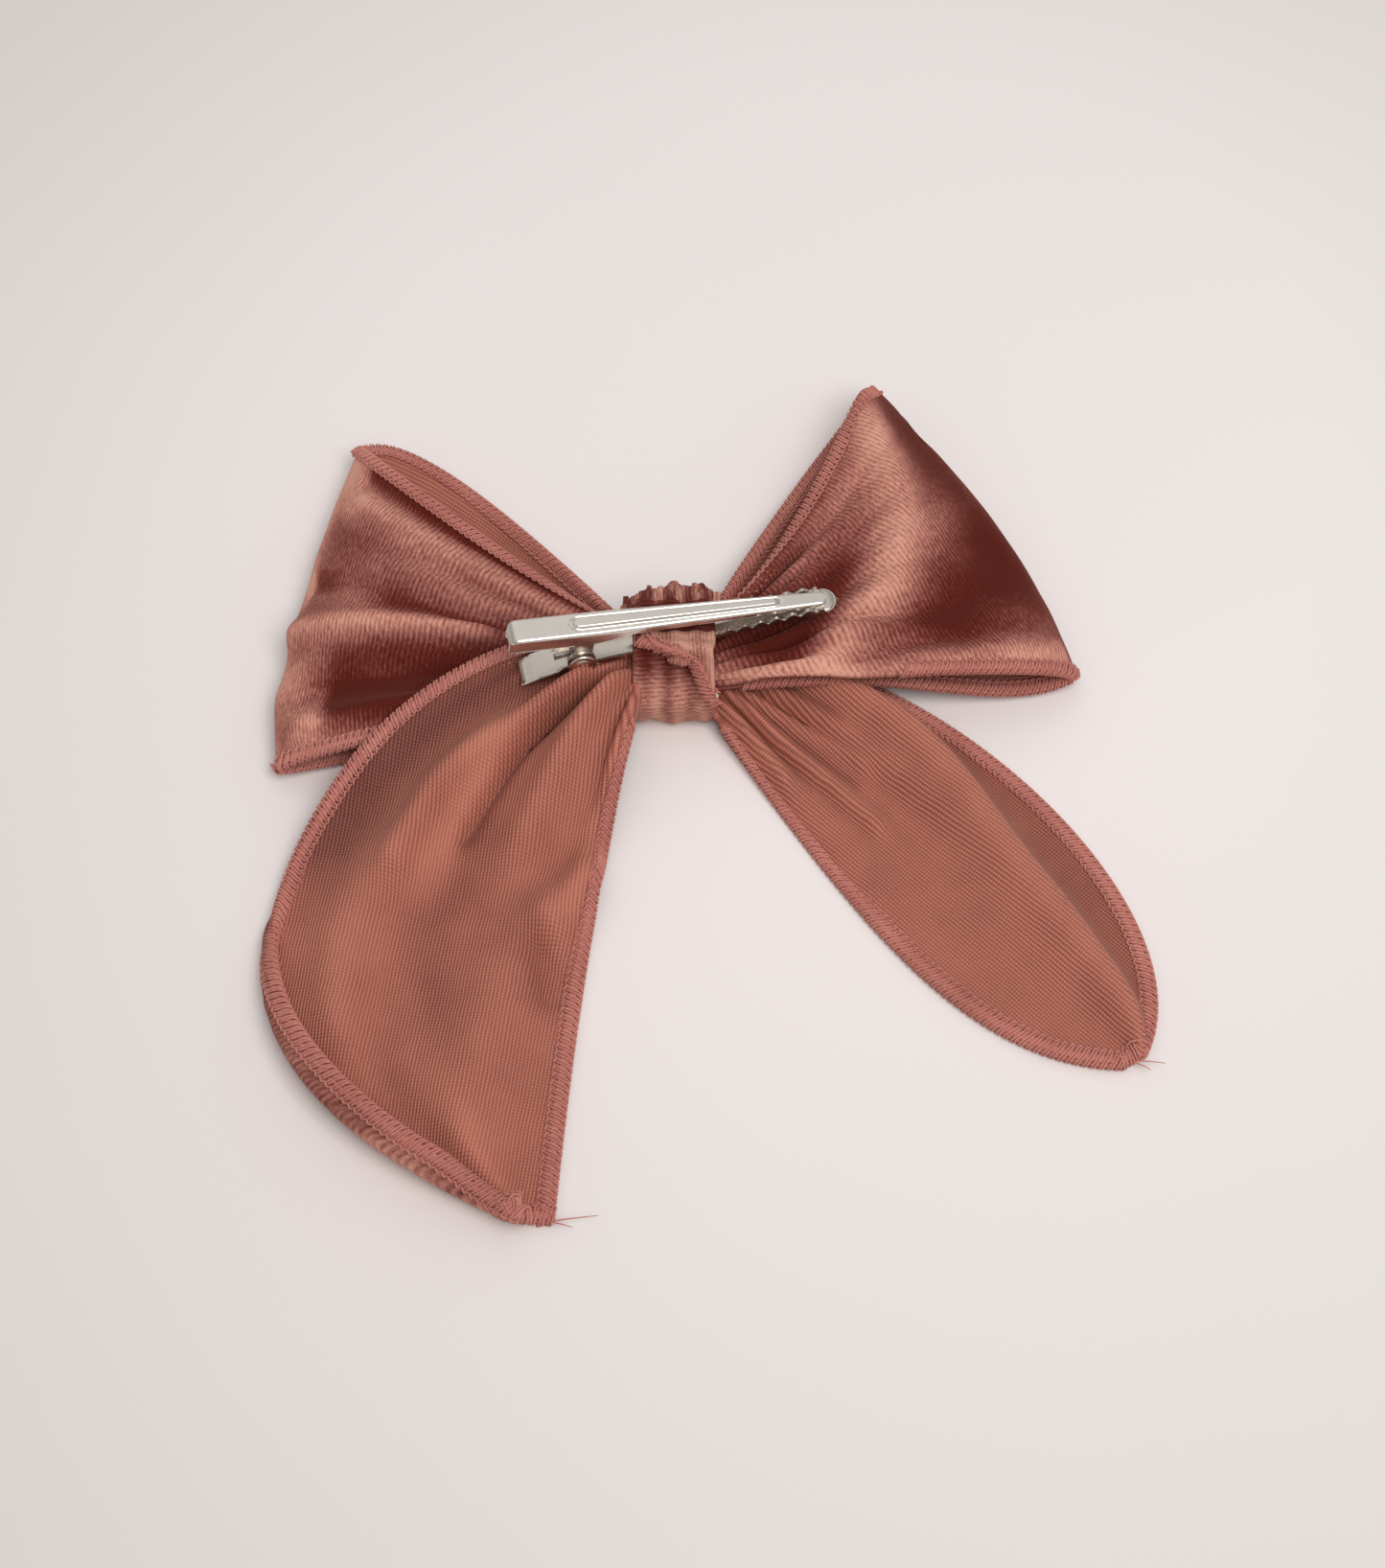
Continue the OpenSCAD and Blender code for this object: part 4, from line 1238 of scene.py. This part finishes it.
def upper_jaw_points():
    x = np.unique(np.concatenate([np.linspace(-HANDLE_L, UPPER_L, 150),
                                  np.linspace(-HANDLE_L, -HANDLE_L + 1.4, 14),
                                  np.linspace(UPPER_L - 1.2, UPPER_L, 12)]))
    half = mix(UPPER_HALF, UPPER_TIP_HALF, np.clip((x - 2.4) / (UPPER_L - 2.4), 0, 1))
    half = half - 0.8 * end_round(x, -HANDLE_L, UPPER_L, 1.0)
    nose = end_round(x, -HANDLE_L, UPPER_L + 5, 1.5)
    depth = mix(2.6, 1.15, smooth_step(1.5, 9, x)) - 0.3 * smooth_step(12, UPPER_L, x) - 0.6 * nose
    ear = np.sqrt(np.maximum(EAR_R ** 2 - x ** 2, 0))
    depth = np.where(np.abs(x) < EAR_R, UPPER_TOP + ear, depth)
    return channel(x, half, UPPER_TOP - nose, depth, 0.5, upper_relief, 1)


make_jaw("upper_jaw_steel", "upper_jaw", upper_jaw_points(), UPPER_TILT, "upper_jaw", False)

# %% Lower jaw
LOWER_HANDLE_L = 9.2
LOWER_BOTTOM = -1.9
LOWER_HALF = 2.72
LOWER_TIP_HALF = 2.1
PAD_X = 36.1
PAD_R = 2.2
TEETH_FROM = 20.6
TOOTH_MM = 2.4


def lower_relief(x, y):
    """A shallow dome on the tip's pad and a rolled stiffener along the floor."""
    dome = 0.35 * np.maximum(1 - (np.hypot(x - PAD_X, y) / 1.9) ** 2, 0)
    lip = 0.45 * smooth_step(-LOWER_HANDLE_L + 0.5, -LOWER_HANDLE_L, x)
    return dome + lip + 0.15 * hump(y / 0.6) * smooth_step(6, 9, x) * smooth_step(33, 30, x)


def lower_jaw_points():
    x = np.unique(np.concatenate([np.linspace(-LOWER_HANDLE_L, PAD_X, 190), np.linspace(-2.3, 2.3, 30),
                                  PAD_X + PAD_R * np.sin(np.linspace(0, np.pi / 2 * 0.985, 14))]))
    half = mix(LOWER_HALF, LOWER_TIP_HALF, np.clip((x - 2.4) / (PAD_X - 2.4), 0, 1))
    round_tip = np.sqrt(np.maximum(PAD_R ** 2 - np.clip(x - PAD_X, 0, None) ** 2, 0.12))
    half = np.minimum(half, round_tip)
    half = half + 0.2 * smooth_step(-3, -6, x)
    bottom = LOWER_BOTTOM + np.minimum(x + 2.6, 0) * math.tan(math.radians(3))
    bottom = bottom - 0.5 * smooth_step(-6, -9.2, x)
    tooth = (0.5 - 0.5 * np.cos(2 * np.pi * (x - TEETH_FROM) / TOOTH_MM)) ** 0.7
    toothed = smooth_step(TEETH_FROM - 0.4, TEETH_FROM + 0.4, x) * smooth_step(PAD_X + 0.4, PAD_X - 0.6, x)
    depth = 1.25 * (1 - toothed) * smooth_step(PAD_X + 0.6, PAD_X - 0.8, x) + toothed * (0.65 + 0.85 * tooth)
    depth = np.maximum(depth - 0.75 * smooth_step(-2.6, -4.0, x), 0.36)
    ear = np.sqrt(np.maximum(2.1 ** 2 - x ** 2, 0)) - LOWER_BOTTOM
    depth = np.where(np.abs(x) < 2.1, ear, depth)
    return channel(x, half, bottom, depth, 0.35, lower_relief, -1)


make_jaw("lower_jaw_steel", "lower_jaw", lower_jaw_points(), LOWER_TILT, "bow", True)

# %% [markdown]
# The pin is a turned rivet with two wide heads, each pressed into rings. The spring is one
# wire: a leg under the upper handle, two and a half turns round the pin, and a leg on the
# lower handle. It crosses the joint, and is made as one piece on no body, fixed where it
# is built.

# %% Pin and spring
PIN_R = 0.75
# Radius and height of each ring of a head, from its rim to its middle
HEAD = np.array([(2.05, 0.0), (2.05, 0.16), (1.78, 0.3), (1.55, 0.12), (1.25, 0.12), (1.1, 0.34),
                 (0.8, 0.36), (0.62, 0.2), (0.3, 0.22), (0.004, 0.22)])


def pin_points():
    """A profile of distance along the pin and radius, turned once round its axis."""
    out = LOWER_HALF + 0.1
    y = np.concatenate([[out], out + HEAD[:, 1]])
    r = np.concatenate([[PIN_R], HEAD[:, 0]])
    y = np.concatenate([-y[::-1], y])
    r = np.concatenate([r[::-1], r])
    turn = np.arange(40) * 2 * np.pi / 40
    return np.stack([r[:, None] * np.sin(turn), np.broadcast_to(y[:, None], (len(y), 40)),
                     r[:, None] * np.cos(turn)], axis=-1)


pin_at = on_clip(pin_points())
make_piece("pivot_rivet", pin_at, closed_faces(*pin_at.shape[:2], flip=True), [STEEL],
           ["pivot_pin"])

COIL_R = 1.05
WIRE_R = 0.25


def wire_path():
    """Up one leg, round the coil clockwise, and out along the other leg."""
    rise, drop = math.radians(39), math.radians(5)
    turn = np.radians(np.linspace(51, -85 - 720, 130))
    across = np.linspace(-0.66, 0.66, 130)
    coil = np.stack([COIL_R * np.cos(turn), across, COIL_R * np.sin(turn)], axis=-1)
    upper = coil[0] + np.array([-math.cos(rise), 0, math.sin(rise)]) * np.linspace(7.2, 0.4, 12)[:, None]
    lower = coil[-1] + np.array([-math.cos(drop), 0, -math.sin(drop)]) * np.linspace(0.4, 3.8, 12)[:, None]
    return np.concatenate([upper, coil, lower])[None]


wire_at = wire_path()
wire_side = np.broadcast_to(np.array([0.0, 1.0, 0.0]), wire_at.shape)
wire_rings = on_clip(tube_grid(wire_at, WIRE_R, wire_side, 10))
spring = make_piece("torsion_spring_wire", wire_rings, tube_faces(1, wire_at.shape[1], 10), [WIRE],
                    ["torsion_spring"], body=None)
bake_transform(spring)
